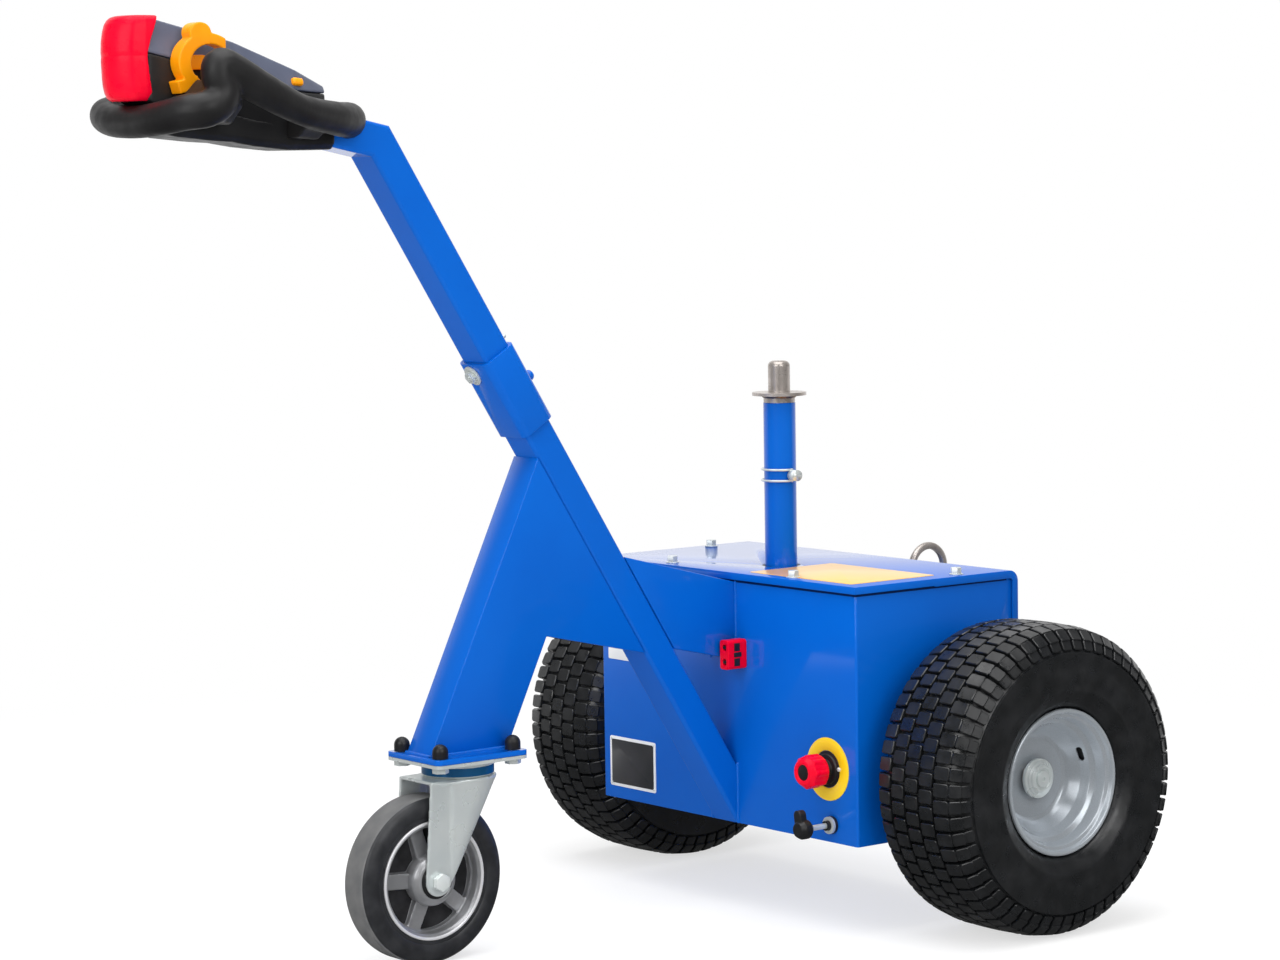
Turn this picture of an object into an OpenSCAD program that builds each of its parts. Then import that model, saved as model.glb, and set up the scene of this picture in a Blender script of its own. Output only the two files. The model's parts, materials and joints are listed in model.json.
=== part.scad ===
// Electric trailer mover: a pedestrian tug with two driven wheels, a swivel
// castor on a raked tiller arm, and a hitch post that stands over the axle.
// Millimetres, +Z up. The origin is on the floor below the middle of the
// machine. -Y is the operator's end with the tiller, +Y is the rear.

/* [Drive wheels] */
// Outside diameter of a drive tyre
wheel_d = 380; // [340:2:420]
// Width of a drive tyre
tyre_w = 155; // [130:1:160]
// Gap between the side of the body and a drive tyre
tyre_gap = 22.5; // [18:0.5:40]
// Diameter of the rim over its flanges
rim_d = 180; // [170:2:200]
// Width of the rim over its flanges
rim_w = 132; // [110:1:134]
// Thickness of the rim's pressed steel
rim_t = 3.5; // [2.5:0.5:5]
// How far the wheel disc sits in from the outer flange
dish_depth = 58; // [50:1:64]
// Diameter of the drive shafts
shaft_d = 25; // [20:1:30]

/* [Body shell] */
// Width of the body
body_w = 505; // [480:5:520]
// Length of the body, front to rear
body_l = 264; // [240:2:300]
// Height of the body, floor plate to lid
body_h = 318; // [280:2:340]
// Ground clearance below the body
body_clear = 111; // [90:1:130]
// Distance from the axle to the rear face of the body
axle_to_rear = 79; // [70:1:100]
// Thickness of the shell's steel sheet
sheet_t = 3; // [2:0.5:4]
// Radius of the fold where the lid turns down the rear
lid_fold = 14; // [6:1:24]
// Depth of the lid's turned-down edge
lid_edge = 9; // [6:1:16]
// Gap between the lid's turned-down edge and the shell
lid_gap = 0.5; // [0.3:0.1:1]

/* [Tiller] */
// Angle of the tiller tube above the floor
tiller_angle = 57.8; // [52:0.2:62]
// Width of the tiller tube, side to side
tube_w = 50; // [40:1:60]
// Depth of the tiller tube, front to back
tube_d = 40; // [30:1:50]
// Wall of the tiller tube
tube_t = 3; // [2:0.5:5]
// Outside corner radius of the tiller tube
tube_r = 5; // [3.5:0.5:8]
// Distance along the tube from the body to the sleeve's lower end
sleeve_at = 568; // [540:2:640]
// Length of the sleeve
sleeve_l = 106; // [80:2:160]
// Wall of the sleeve
sleeve_t = 4.7; // [3:0.1:6]
// Gap between the tubes and the sleeve's bore
sleeve_gap = 0.3; // [0.1:0.1:0.5]
// Distance along the tube from the body to the bend under the handle
bend_at = 972; // [900:2:1040]
// Angle of the stub above the floor, past the bend
stub_angle = 12; // [6:1:18]
// Length of the stub past the bend
stub_l = 90; // [70:1:120]

/* [Castor arm] */
// Width of the arm, side to side
arm_w = 50; // [40:1:60]
// Distance from the axle to the castor's swivel pin
swivel_to_axle = 597; // [570:1:640]
// Length of the arm's foot, front to back
arm_foot_l = 112; // [90:1:124]
// Angle of the arm's front edge above the floor
arm_front_angle = 64.4; // [62:0.2:70]
// Angle of the arm's long lower edge above the floor
arm_lower_angle = 13; // [8:0.5:20]
// Angle of the arm's upper edge behind the tube
arm_upper_angle = 14.5; // [8:0.5:20]
// Depth of the arm where it meets the body
arm_root_h = 98; // [70:1:120]
// Distance from the lid down to the arm's upper edge at the body
arm_drop = 12; // [10:1:30]

/* [Castor] */
// Diameter of the castor wheel
castor_d = 200; // [180:2:210]
// Width of the castor tyre
castor_w = 50; // [40:1:50]
// Height of the castor over its top plate
castor_h = 241; // [236:1:250]
// How far the castor wheel trails its swivel pin
castor_trail = 53; // [45:1:60]
// Thickness of the castor's pressed steel
castor_t = 4; // [3:0.5:5]
// Diameter of the castor's kingpin
kingpin_d = 14; // [12:1:18]
// Diameter of the castor's axle bolt
castor_axle_d = 12; // [10:1:16]

/* [Foot plate] */
// Size of the foot plate and of the castor's top plate, side to side
plate_w = 110; // [104:1:120]
// Size of the foot plate and of the castor's top plate, front to back
plate_l = 132; // [128:1:140]
// Thickness of the foot plate
foot_plate_t = 6; // [5:0.5:10]
// Distance between the plate bolts, side to side
plate_hole_w = 80; // [76:1:84]
// Distance between the plate bolts, front to back
plate_hole_l = 105; // [100:1:108]
// Diameter of the plate bolts
plate_bolt_d = 10; // [8:1:11]

/* [Hitch] */
// Distance from the axle forward to the hitch post
post_to_axle = 88; // [80:1:100]
// Diameter of the hitch post
post_d = 35; // [30:1:40]
// Height of the hitch post's top above the floor
post_top = 637; // [560:1:720]
// Diameter of the hitch pin
pin_d = 28; // [22:1:30]
// Height of the hitch pin above its flange
pin_h = 40; // [30:1:60]
// Diameter of the hitch pin's flange
flange_d = 69; // [56:1:80]
// Thickness of the hitch pin's flange
flange_t = 4; // [3:0.5:8]
// Height of the lock pin above the floor
lock_pin_z = 545; // [530:1:560]
// Diameter of the lock pin
lock_pin_d = 8; // [6:0.5:10]

/* [Handle] */
// Width of the handle's console
console_w = 68; // [60:1:76]
// Length of the handle from its nose to the front of the red button
handle_l = 340; // [320:2:360]
// Height of the handle over its lowest line
handle_h = 152; // [146:1:158]
// Half width of the handle over its grips
grip_reach = 115; // [108:1:122]
// Thickness of a grip, up and down
grip_h = 48; // [40:1:50]
// Thickness of a grip, side to side
grip_w = 36; // [30:1:38]
// Width of the red button
button_w = 70; // [62:1:76]
// Height of the red button
button_h = 94; // [84:1:98]
// Depth of the red button at its crown
button_l = 40; // [30:1:46]

/* [Hidden] */

// Clearances shared by the fits
seat_gap = 0.3;
run_gap = 0.05;

// Smoothness of round shapes
round_fn = 64;
small_fn = 32;

// Places along Y, from the axle out
wheel_r = wheel_d / 2;
eye_r = 33;
eye_bar_d = 10;
eye_reach = 86;
eye_hole_d = 2 * (eye_r - eye_bar_d) + 2;
rear_from_axle = axle_to_rear + eye_reach + eye_r;
function tube_y(t) = -axle_to_front - t * cos(tiller_angle);
axle_to_front = body_l - axle_to_rear;
bend_y = tube_y(bend_at);
nose_from_bend = 12;
front_from_axle = -bend_y + nose_from_bend + handle_l;
axle_y = (front_from_axle - rear_from_axle) / 2;
front_y = axle_y - axle_to_front;
rear_y = axle_y + axle_to_rear;
body_mid_y = (front_y + rear_y) / 2;
swivel_y = axle_y - swivel_to_axle;
post_y = axle_y - post_to_axle;

// Heights
body_top = body_clear + body_h;
eye_z = body_top - 23;
tube_root_z = body_clear + tube_d / 2 / cos(tiller_angle);
bend_z = tube_root_z + bend_at * sin(tiller_angle);
arm_foot_z = castor_h + foot_plate_t + seat_gap;

// Colours
blue = [0.02, 0.38, 0.80];
zinc = [0.80, 0.81, 0.80];
steel = [0.62, 0.60, 0.58];
black = [0.12, 0.12, 0.13];

// ---- Shared shapes ----

// Rectangle with round corners, centred
module round_rect(w, h, r) {
    square([w - 2 * r, h], center = true);
    square([w, h - 2 * r], center = true);
    for (x = [-1, 1], y = [-1, 1])
        translate([x * (w / 2 - r), y * (h / 2 - r)])
            circle(r, $fn = small_fn);
}

// Box section of a given length along +Z
module box_section(w, d, t, r, l) {
    linear_extrude(l)
        difference() {
            round_rect(w, d, r);
            round_rect(w - 2 * t, d - 2 * t, max(r - t, 0.5));
        }
}

// Round plate or bar along X, centred on x
module bar_x(d, x0, x1) {
    translate([x0, 0, 0])
        rotate([0, 90, 0])
            cylinder(d = d, h = x1 - x0, $fn = round_fn);
}

// Hexagon head along +Z, across flats s
module hex_head(s, h) {
    cylinder(d = s / cos(30), h = h, $fn = 6);
}

// Frame that runs up the tiller: +Z along the tube, origin at the body
module on_tiller(t = 0) {
    translate([0, front_y, tube_root_z])
        rotate([90 - tiller_angle, 0, 0])
            translate([0, 0, t])
                children();
}

// Side profile drawn in (y, z) and spread over a width along X
module side_plate(w) {
    rotate([90, 0, 90])
        translate([0, 0, -w / 2])
            linear_extrude(w)
                children();
}

// Frame at the wheel centre on one side: side is 1 right, -1 left
module at_wheel(side) {
    translate([0, axle_y, wheel_r])
        mirror([side < 0 ? 1 : 0, 0, 0])
            children();
}

// ---- Body shell ----

post_hole_d = post_d + 14;
shaft_hole_d = shaft_d + 12;
lid_w = body_w + 2 * (sheet_t + lid_gap);
lid_front_y = front_y - lid_gap - sheet_t;
lid_rear_y = rear_y + lid_gap + sheet_t;

// Side profile of the body in (y, z), pulled in all round, with its folded rear corner
module body_outline(pull) {
    fold = max(lid_fold - pull, 1);
    low = body_clear - pull;
    high = body_top - pull;
    rear = lid_rear_y - pull;
    translate([lid_front_y + pull, low])
        square([rear - fold - lid_front_y - pull, high - low]);
    translate([rear - fold - 1, low])
        square([fold + 1, high - fold - low]);
    translate([rear - fold, high - fold])
        circle(fold, $fn = round_fn);
}

module housing() {
    wall = sheet_t;
    pull = sheet_t + lid_gap;
    color(blue)
        difference() {
            intersection() {
                translate([0, body_mid_y, body_clear])
                    linear_extrude(body_h)
                        round_rect(body_w, body_l, wall);
                side_plate(body_w)
                    body_outline(pull);
            }
            translate([0, body_mid_y + wall, body_clear + wall])
                linear_extrude(body_h)
                    round_rect(body_w - 2 * wall, body_l, 0.5);
            at_wheel(1)
                bar_x(shaft_hole_d, -body_w, body_w);
        }
}

module lid() {
    color(blue)
        difference() {
            side_plate(lid_w)
                body_outline(0);
            side_plate(lid_w - 2 * sheet_t)
                body_outline(sheet_t);
            side_plate(2 * lid_w)
                translate([0, -1])
                    body_outline(lid_edge);
            translate([-lid_w, lid_front_y - 1, body_clear - 1])
                cube([2 * lid_w, body_l / 2, body_h - lid_edge + 1]);
            translate([0, post_y, body_top - sheet_t - 1])
                cylinder(d = post_hole_d, h = sheet_t + 2, $fn = round_fn);
        }
}

// ---- Heavy things inside the body ----

drive_w = 240;
drive_l = 112;
drive_h = 140;
drive_ahead = drive_l / 2 - 16;
battery_w = 190;
battery_h = 168;
battery_inset = 30;
battery_gap = 2;
battery_behind = 12;
battery_l = axle_to_front - sheet_t - battery_gap - drive_ahead - battery_behind;

module battery(side) {
    color(black)
        translate([side * (battery_inset + battery_w / 2),
                   front_y + sheet_t + battery_gap,
                   body_clear + sheet_t])
            translate([-battery_w / 2, 0, 0])
                cube([battery_w, battery_l, battery_h]);
}

module drive_unit() {
    color("dimgray")
        difference() {
            translate([-drive_w / 2, axle_y - drive_ahead, body_clear + sheet_t])
                cube([drive_w, drive_l, drive_h]);
            at_wheel(1)
                bar_x(shaft_d + 2 * run_gap, -drive_w, drive_w);
        }
}

axle_tube_d = shaft_d + 10;
axle_flange_d = 84;
axle_flange_t = 6;

// Tube that carries a drive shaft out through the side of the body
module axle_housing(side) {
    out = body_w / 2;
    color(zinc)
        at_wheel(side)
            difference() {
                union() {
                    bar_x(axle_tube_d, drive_w / 2, out + tyre_gap * 0.7);
                    bar_x(axle_flange_d, out, out + axle_flange_t);
                }
                bar_x(shaft_d + 2 * run_gap, 0, body_w);
            }
}

// ---- Tiller ----

sleeve_w = tube_w + 2 * (sleeve_gap + sleeve_t);
sleeve_d = tube_d + 2 * (sleeve_gap + sleeve_t);
sleeve_bolt_d = 8;
sleeve_bolt_at = sleeve_at + sleeve_l - 15;
sleeve_bolt_x = -8;
split_at = sleeve_at + sleeve_l * 0.4;
split_gap = 1;

// Hole or shank across the tiller, front to back
module across_tiller(d, l) {
    on_tiller(sleeve_bolt_at)
        translate([sleeve_bolt_x, 0, 0])
            rotate([90, 0, 0])
                cylinder(d = d, h = l, center = true, $fn = small_fn);
}

module lower_tube() {
    root = 2 * tube_d;
    color(blue)
        difference() {
            on_tiller(-root)
                box_section(tube_w, tube_d, tube_t, tube_r, split_at + root);
            translate([-tube_w, front_y, 0])
                cube([2 * tube_w, body_l, body_top]);
        }
}

module sleeve() {
    color(blue)
        difference() {
            on_tiller(sleeve_at)
                box_section(sleeve_w, sleeve_d, sleeve_t, tube_r + sleeve_gap + sleeve_t, sleeve_l);
            across_tiller(sleeve_bolt_d + 2 * seat_gap, 2 * sleeve_d);
        }
}

tube_bend_y = axle_y + bend_y;

// Frame at the bend: +Z along the stub
module stub_frame() {
    translate([0, tube_bend_y, bend_z])
        rotate([90 - stub_angle, 0, 0])
            children();
}

// Half space on one side of the mitre at the bend: side is 1 above it, -1 below
module bend_side(side) {
    mitre = (tiller_angle + stub_angle) / 2;
    size = 4 * tube_d;
    translate([0, tube_bend_y, bend_z])
        rotate([90 - mitre, 0, 0])
            translate([-tube_w, -size / 2, side > 0 ? 0 : -size])
                cube([2 * tube_w, size, size]);
}

module upper_tube() {
    start = split_at + split_gap;
    color(blue)
        difference() {
            union() {
                difference() {
                    on_tiller(start)
                        box_section(tube_w, tube_d, tube_t, tube_r, bend_at - start + tube_d);
                    bend_side(1);
                }
                difference() {
                    stub_frame()
                        translate([0, 0, -tube_d])
                            box_section(tube_w, tube_d, tube_t, tube_r, stub_l + tube_d);
                    bend_side(-1);
                }
            }
            across_tiller(sleeve_bolt_d + 2 * seat_gap, 2 * sleeve_d);
        }
}

module sleeve_bolt() {
    head_s = 13;
    head_h = 6;
    washer_t = 1.6;
    out = sleeve_d / 2 + seat_gap;
    color(zinc) {
        across_tiller(sleeve_bolt_d, sleeve_d + 3 * head_h);
        on_tiller(sleeve_bolt_at)
            translate([sleeve_bolt_x, 0, 0])
                for (side = [0, 1])
                    rotate([90 + 180 * side, 0, 0])
                        translate([0, 0, out]) {
                            cylinder(d = 2 * head_s, h = washer_t, $fn = small_fn);
                            hex_head(head_s, washer_t + head_h);
                        }
    }
}

// ---- Castor arm ----

foot_front = swivel_y - arm_foot_l / 2;
foot_rear = swivel_y + arm_foot_l / 2;
arm_top_z = body_top - arm_drop;
arm_low_z = arm_top_z - arm_root_h;

arm_knee_h = 128;
knee_z = arm_foot_z + arm_knee_h;
knee_y = foot_rear + (knee_z - arm_foot_z) / tan(arm_front_angle);

// Outline of the arm ahead of the tube, in (y, z), long enough to cross it
module neck_outline() {
    rise = body_h + arm_foot_z;
    polygon([
        [foot_front, arm_foot_z],
        [foot_front + rise / tan(arm_front_angle), arm_foot_z + rise],
        [front_y, arm_foot_z + rise],
        [front_y, knee_z - (front_y - knee_y) * tan(arm_lower_angle)],
        [knee_y, knee_z],
        [foot_rear, arm_foot_z]
    ]);
}

// Outline of the arm between the tube and the body, in (y, z)
module gusset_outline() {
    reach = body_l;
    polygon([
        [front_y, arm_top_z],
        [front_y - reach, arm_top_z + reach * tan(arm_upper_angle)],
        [front_y - reach, arm_low_z + reach * tan(arm_lower_angle)],
        [front_y, arm_low_z]
    ]);
}

// Everything on one side of the tiller tube, in (y, z): side is 1 behind it, -1 ahead
module beside_tube(side) {
    long = 2 * bend_at;
    translate([front_y, tube_root_z])
        rotate(180 - tiller_angle)
            translate([-long / 2, side > 0 ? -long - tube_d / 2 : tube_d / 2])
                square(long);
}

module arm_neck() {
    color(blue)
        side_plate(arm_w)
            intersection() {
                neck_outline();
                beside_tube(-1);
            }
}

module arm_gusset() {
    color(blue)
        side_plate(arm_w)
            intersection() {
                gusset_outline();
                beside_tube(1);
            }
}

// ---- Foot plate and its bolts ----

plate_r = 8;
bolt_washer_d = 20;
cap_d = 19;

module plate_holes(d) {
    for (x = [-1, 1], y = [-1, 1])
        translate([x * plate_hole_w / 2, y * plate_hole_l / 2])
            circle(d = d, $fn = small_fn);
}

module foot_plate() {
    color(blue)
        translate([0, swivel_y, castor_h + seat_gap])
            linear_extrude(foot_plate_t)
                difference() {
                    round_rect(plate_w, plate_l, plate_r);
                    plate_holes(plate_bolt_d + 2 * seat_gap);
                }
}

module plate_bolts() {
    head_h = 6.4;
    low = castor_h - castor_t - seat_gap;
    color(zinc)
        for (x = [-1, 1], y = [-1, 1])
            translate([x * plate_hole_w / 2, swivel_y + y * plate_hole_l / 2, low - head_h]) {
                hex_head(17, head_h);
                cylinder(d = plate_bolt_d, h = head_h + castor_t + foot_plate_t + 10, $fn = small_fn);
            }
}

module bolt_caps() {
    cap_h = 17;
    color(black)
        for (x = [-1, 1], y = [-1, 1])
            translate([x * plate_hole_w / 2, swivel_y + y * plate_hole_l / 2, arm_foot_z + seat_gap])
                difference() {
                    union() {
                        cylinder(d = cap_d, h = cap_h - cap_d / 2, $fn = small_fn);
                        translate([0, 0, cap_h - cap_d / 2])
                            sphere(d = cap_d, $fn = small_fn);
                    }
                    translate([0, 0, -1])
                        cylinder(d = plate_bolt_d + 2 * seat_gap, h = 12, $fn = small_fn);
                    translate([0, 0, -cap_d])
                        cylinder(d = 2 * cap_d, h = cap_d, $fn = small_fn);
                }
}

// ---- Castor ----

castor_axle_y = swivel_y - castor_trail;
castor_r = castor_d / 2;
castor_leg_gap = castor_w + 10;
castor_boss_d = 36;
race_d = 92;
race_h = 18;
race_lip = 4;
crown_z = castor_h - castor_t - race_h;
crown_ahead = 62;
castor_rim_r = castor_r - 28.5;

module castor_plate() {
    cup_r = race_d / 2 - 3;
    color(zinc)
        translate([0, swivel_y, 0]) {
            translate([0, 0, castor_h - castor_t])
                linear_extrude(castor_t)
                    difference() {
                        round_rect(plate_w, plate_l, plate_r);
                        plate_holes(plate_bolt_d + 2 * seat_gap);
                    }
            translate([0, 0, crown_z + seat_gap])
                rotate_extrude($fn = round_fn)
                    polygon([
                        [0, 0],
                        [cup_r - 2, 0],
                        [cup_r, 2],
                        [cup_r, race_h - race_lip - 2],
                        [cup_r + 4, race_h - race_lip],
                        [cup_r + 4, race_h - 2],
                        [cup_r + 2, race_h],
                        [0, race_h]
                    ]);
            translate([0, 0, crown_z - castor_t - 9])
                cylinder(d = kingpin_d, h = 9 + castor_t + race_h, $fn = small_fn);
            translate([0, 0, crown_z - castor_t - seat_gap - 8])
                hex_head(kingpin_d + 6, 8);
        }
}

// Outside of the pressed fork, drawn in all round, from the round crown to the axle bosses
module fork_bulge(pull) {
    half = castor_leg_gap / 2 + castor_t - pull;
    hull() {
        translate([0, swivel_y, crown_z - castor_t])
            cylinder(r = race_d / 2 - 0.6 - pull, h = castor_t - 0.5 - pull, $fn = small_fn);
        for (side = [-1, 1])
            translate([side * half, castor_axle_y + castor_boss_d / 2, castor_r])
                rotate([0, -side * 90, 0])
                    cylinder(r = 2, h = 1, $fn = small_fn);
        for (side = [-1, 1])
            translate([side * (half - 0.5), swivel_y - crown_ahead / 2, crown_z - castor_t])
                cube([1, crown_ahead, 2], center = true);
    }
}

// Flat front strip of a fork leg in (y, z), from the crown down to the axle boss
module fork_strip() {
    front = swivel_y - crown_ahead;
    crease = castor_axle_y + castor_boss_d / 2 + 3;
    translate([castor_axle_y, castor_r])
        circle(d = castor_boss_d, $fn = small_fn);
    polygon([
        [castor_axle_y - castor_boss_d / 2, castor_r],
        [front, crown_z - castor_t],
        [front, crown_z],
        [crease, crown_z],
        [crease, castor_r + castor_boss_d / 3],
        [castor_axle_y + castor_boss_d / 2, castor_r]
    ]);
}

module castor_fork() {
    leg_out = castor_leg_gap + 2 * castor_t;
    color(zinc)
        difference() {
            union() {
                difference() {
                    fork_bulge(0);
                    fork_bulge(castor_t * 0.7);
                    translate([-castor_leg_gap / 2, castor_axle_y - castor_r, 0])
                        cube([castor_leg_gap, 2 * castor_r, crown_z - castor_t]);
                    translate([-race_d, castor_axle_y - castor_d, 0])
                        cube([2 * race_d, castor_d + castor_boss_d / 2, crown_z - castor_t]);
                }
                for (side = [-1, 1])
                    translate([side * (leg_out - castor_t) / 2, 0, 0])
                        side_plate(castor_t)
                            fork_strip();
                translate([0, swivel_y, crown_z - castor_t])
                    cylinder(d = race_d, h = castor_t, $fn = round_fn);
                translate([-leg_out / 2, swivel_y - crown_ahead, crown_z - castor_t])
                    cube([leg_out, crown_ahead, castor_t]);
            }
            translate([0, swivel_y, crown_z - 2 * castor_t])
                cylinder(d = kingpin_d + 2 * run_gap, h = 3 * castor_t, $fn = small_fn);
            translate([0, castor_axle_y, castor_r])
                bar_x(castor_axle_d + 2 * run_gap, -castor_leg_gap, castor_leg_gap);
        }
}

module castor_axle() {
    out = castor_leg_gap / 2 + castor_t;
    head_h = 8;
    color(zinc)
        translate([0, castor_axle_y, castor_r]) {
            bar_x(castor_axle_d, -out - 1.5 * head_h, out + head_h - 1);
            for (side = [-1, 1])
                rotate([0, side * 90, 0])
                    translate([0, 0, out + seat_gap])
                        hex_head(castor_axle_d + 7, head_h);
        }
}

castor_spokes = 5;
castor_spoke_w = 19;
castor_spoke_turn = 15;
castor_hub_r = 20;
castor_well_r = castor_rim_r - 9;

// One pocket between two spokes of the castor rim, in the plane of the wheel
module rim_pocket() {
    step = 180 / castor_spokes;
    apex = castor_spoke_w / 2 / sin(step);
    intersection() {
        difference() {
            circle(castor_well_r - 1.5, $fn = round_fn);
            circle(castor_hub_r + 9, $fn = round_fn);
        }
        polygon([
            [apex, 0],
            [apex + castor_rim_r * cos(step), -castor_rim_r * sin(step)],
            [apex + castor_rim_r * cos(step), castor_rim_r * sin(step)]
        ]);
    }
}

module castor_rim() {
    bore_r = castor_axle_d / 2 + run_gap;
    hub = castor_leg_gap / 2 - 0.5;
    edge = castor_w / 2 - 2;
    face = 14;
    web = 3;
    color("silver")
        translate([0, castor_axle_y, castor_r])
            rotate([0, 90, 0])
                difference() {
                    rotate_extrude($fn = round_fn)
                        polygon([
                            [bore_r, -hub],
                            [castor_hub_r - 4, -hub],
                            [castor_hub_r, -hub + 4],
                            [castor_hub_r + 5, -face],
                            [castor_well_r, -face + 4],
                            [castor_well_r + 2, -edge + 2],
                            [castor_rim_r - 3, -edge],
                            [castor_rim_r, -edge],
                            [castor_rim_r, edge],
                            [castor_rim_r - 3, edge],
                            [castor_well_r + 2, edge - 2],
                            [castor_well_r, face - 4],
                            [castor_hub_r + 5, face],
                            [castor_hub_r, hub - 4],
                            [castor_hub_r - 4, hub],
                            [bore_r, hub]
                        ]);
                    for (i = [0 : castor_spokes - 1], side = [-1, 1])
                        rotate(castor_spoke_turn + i * 360 / castor_spokes)
                            translate([0, 0, side > 0 ? web : -castor_w - web])
                                linear_extrude(castor_w)
                                    rim_pocket();
                }
}

module castor_tyre() {
    shoulder = 4;
    half = castor_w / 2;
    color("gray")
        translate([0, castor_axle_y, castor_r])
            rotate([0, 90, 0])
                rotate_extrude($fn = round_fn)
                    polygon([
                        [castor_rim_r, -half],
                        [castor_r - shoulder, -half],
                        [castor_r, shoulder - half],
                        [castor_r, half - shoulder],
                        [castor_r - shoulder, half],
                        [castor_rim_r, half]
                    ]);
}

// ---- Drive wheels ----

track_w = body_w + 2 * tyre_gap + tyre_w;
wheel_x = track_w / 2;
disc_x = wheel_x + rim_w / 2 - dish_depth;
bead_r = rim_d / 2 - 9;
well_r = bead_r - 4;
bowl_r = 54;
hub_washer_d = 36;
hub_washer_t = 3;

module shaft(side) {
    hub_d = 46;
    hub_l = 8;
    nut_h = 9;
    inner_end = 4;
    past_nut = 5;
    color(steel)
        at_wheel(side) {
            bar_x(shaft_d, inner_end, disc_x + rim_t + nut_h + past_nut);
            bar_x(hub_d, disc_x - hub_l - seat_gap, disc_x - seat_gap);
            translate([disc_x + rim_t + seat_gap, 0, 0])
                rotate([0, 90, 0]) {
                    cylinder(d = hub_washer_d, h = hub_washer_t, $fn = small_fn);
                    hex_head(24, hub_washer_t + nut_h);
                }
        }
}

// Visible face of the rim from the outer flange in to the shaft: [radius, depth]
function rim_face() = [
    [rim_d / 2 - 0.8 * rim_t, 0],
    [rim_d / 2 - 0.8 * rim_t - 4, 0],
    [bead_r - 0.8 * rim_t, 7],
    [bead_r - 0.8 * rim_t - 1, 12],
    [well_r - rim_t, 0.38 * dish_depth],
    [bowl_r + 12, 0.53 * dish_depth],
    [bowl_r + 10.5, 0.6 * dish_depth],
    [bowl_r, dish_depth - rim_t],
    [shaft_d / 2 + run_gap, dish_depth - rim_t]
];

module rim(side) {
    slot_w = 8;
    slot_l = 19;
    slot_r = bowl_r + 17;
    slot_angle = 21.5;
    color("silver")
        at_wheel(side)
            translate([wheel_x + rim_w / 2, 0, 0])
                difference() {
                    rotate([0, 90, 0])
                        rotate_extrude($fn = round_fn) {
                            polygon(concat(
                                [for (p = rim_face()) [p[0], -p[1]]],
                                [for (i = [len(rim_face()) - 1 : -1 : 0])
                                    [rim_face()[i][0], -rim_face()[i][1]]
                                    + [i == len(rim_face()) - 1 ? 0 : 0.8, -0.8] * rim_t]
                            ));
                            polygon([
                                [well_r - rim_t, -0.34 * dish_depth],
                                [bead_r, -12],
                                [bead_r, -22],
                                [well_r, -28],
                                [well_r, 28 - rim_w],
                                [bead_r, 22 - rim_w],
                                [bead_r, 9 - rim_w],
                                [rim_d / 2, rim_t - rim_w],
                                [rim_d / 2, -rim_w],
                                [rim_d / 2 - 4, -rim_w],
                                [bead_r - rim_t, 8 - rim_w],
                                [bead_r - rim_t, 22 - rim_w],
                                [well_r - rim_t, 28 - rim_w]
                            ]);
                        }
                    rotate([slot_angle, 0, 0])
                        translate([-0.7 * dish_depth, slot_r, 0])
                            rotate([0, 90, 0])
                                linear_extrude(0.6 * dish_depth)
                                    for (end = [-1, 1]) {
                                        translate([end * (slot_l - slot_w) / 2, 0])
                                            circle(d = slot_w, $fn = small_fn);
                                        square([slot_l - slot_w, slot_w], center = true);
                                    }
                }
}

// Half section of a drive tyre from the edge of its flat tread to the bead: [radius, across]
function tyre_section() = [
    [wheel_r, 0.25 * tyre_w],
    [wheel_r - 2.5, 0.34 * tyre_w],
    [wheel_r - 8, 0.41 * tyre_w],
    [wheel_r - 22, 0.475 * tyre_w],
    [wheel_r - 48, tyre_w / 2],
    [rim_d / 2 + 22, 0.475 * tyre_w],
    [rim_d / 2 + seat_gap, rim_w / 2 - 10],
    [bead_r + seat_gap, rim_w / 2 - 10]
];

// A drive tyre: its section swept round the wheel with few enough faces for two tyres
module tyre(side) {
    half = tyre_section();
    last = len(half) - 1;
    ring = concat(half, [for (i = [last : -1 : 0]) [half[i][0], -half[i][1]]]);
    color(black)
        at_wheel(side)
            translate([wheel_x, 0, 0])
                skin([for (i = [0 : round_fn - 1]) let (a = -360 * i / round_fn)
                    [for (p = ring) [p[1], p[0] * cos(a), p[0] * sin(a)]]
                ], closed = true);
}

// ---- Hitch ----

collar_d = post_d + 5;
collar_h = 9;
post_t = 3.5;

module hitch_post() {
    low = body_clear + sheet_t;
    color(blue)
        translate([0, post_y, low])
            difference() {
                cylinder(d = post_d, h = post_top - low, $fn = round_fn);
                translate([0, 0, 4])
                    cylinder(d = post_d - 2 * post_t, h = post_top, $fn = round_fn);
                translate([0, 0, lock_pin_z - low])
                    rotate([0, 90, 0])
                        cylinder(d = lock_pin_d + 2 * run_gap, h = 2 * post_d, center = true, $fn = small_fn);
            }
}

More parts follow.
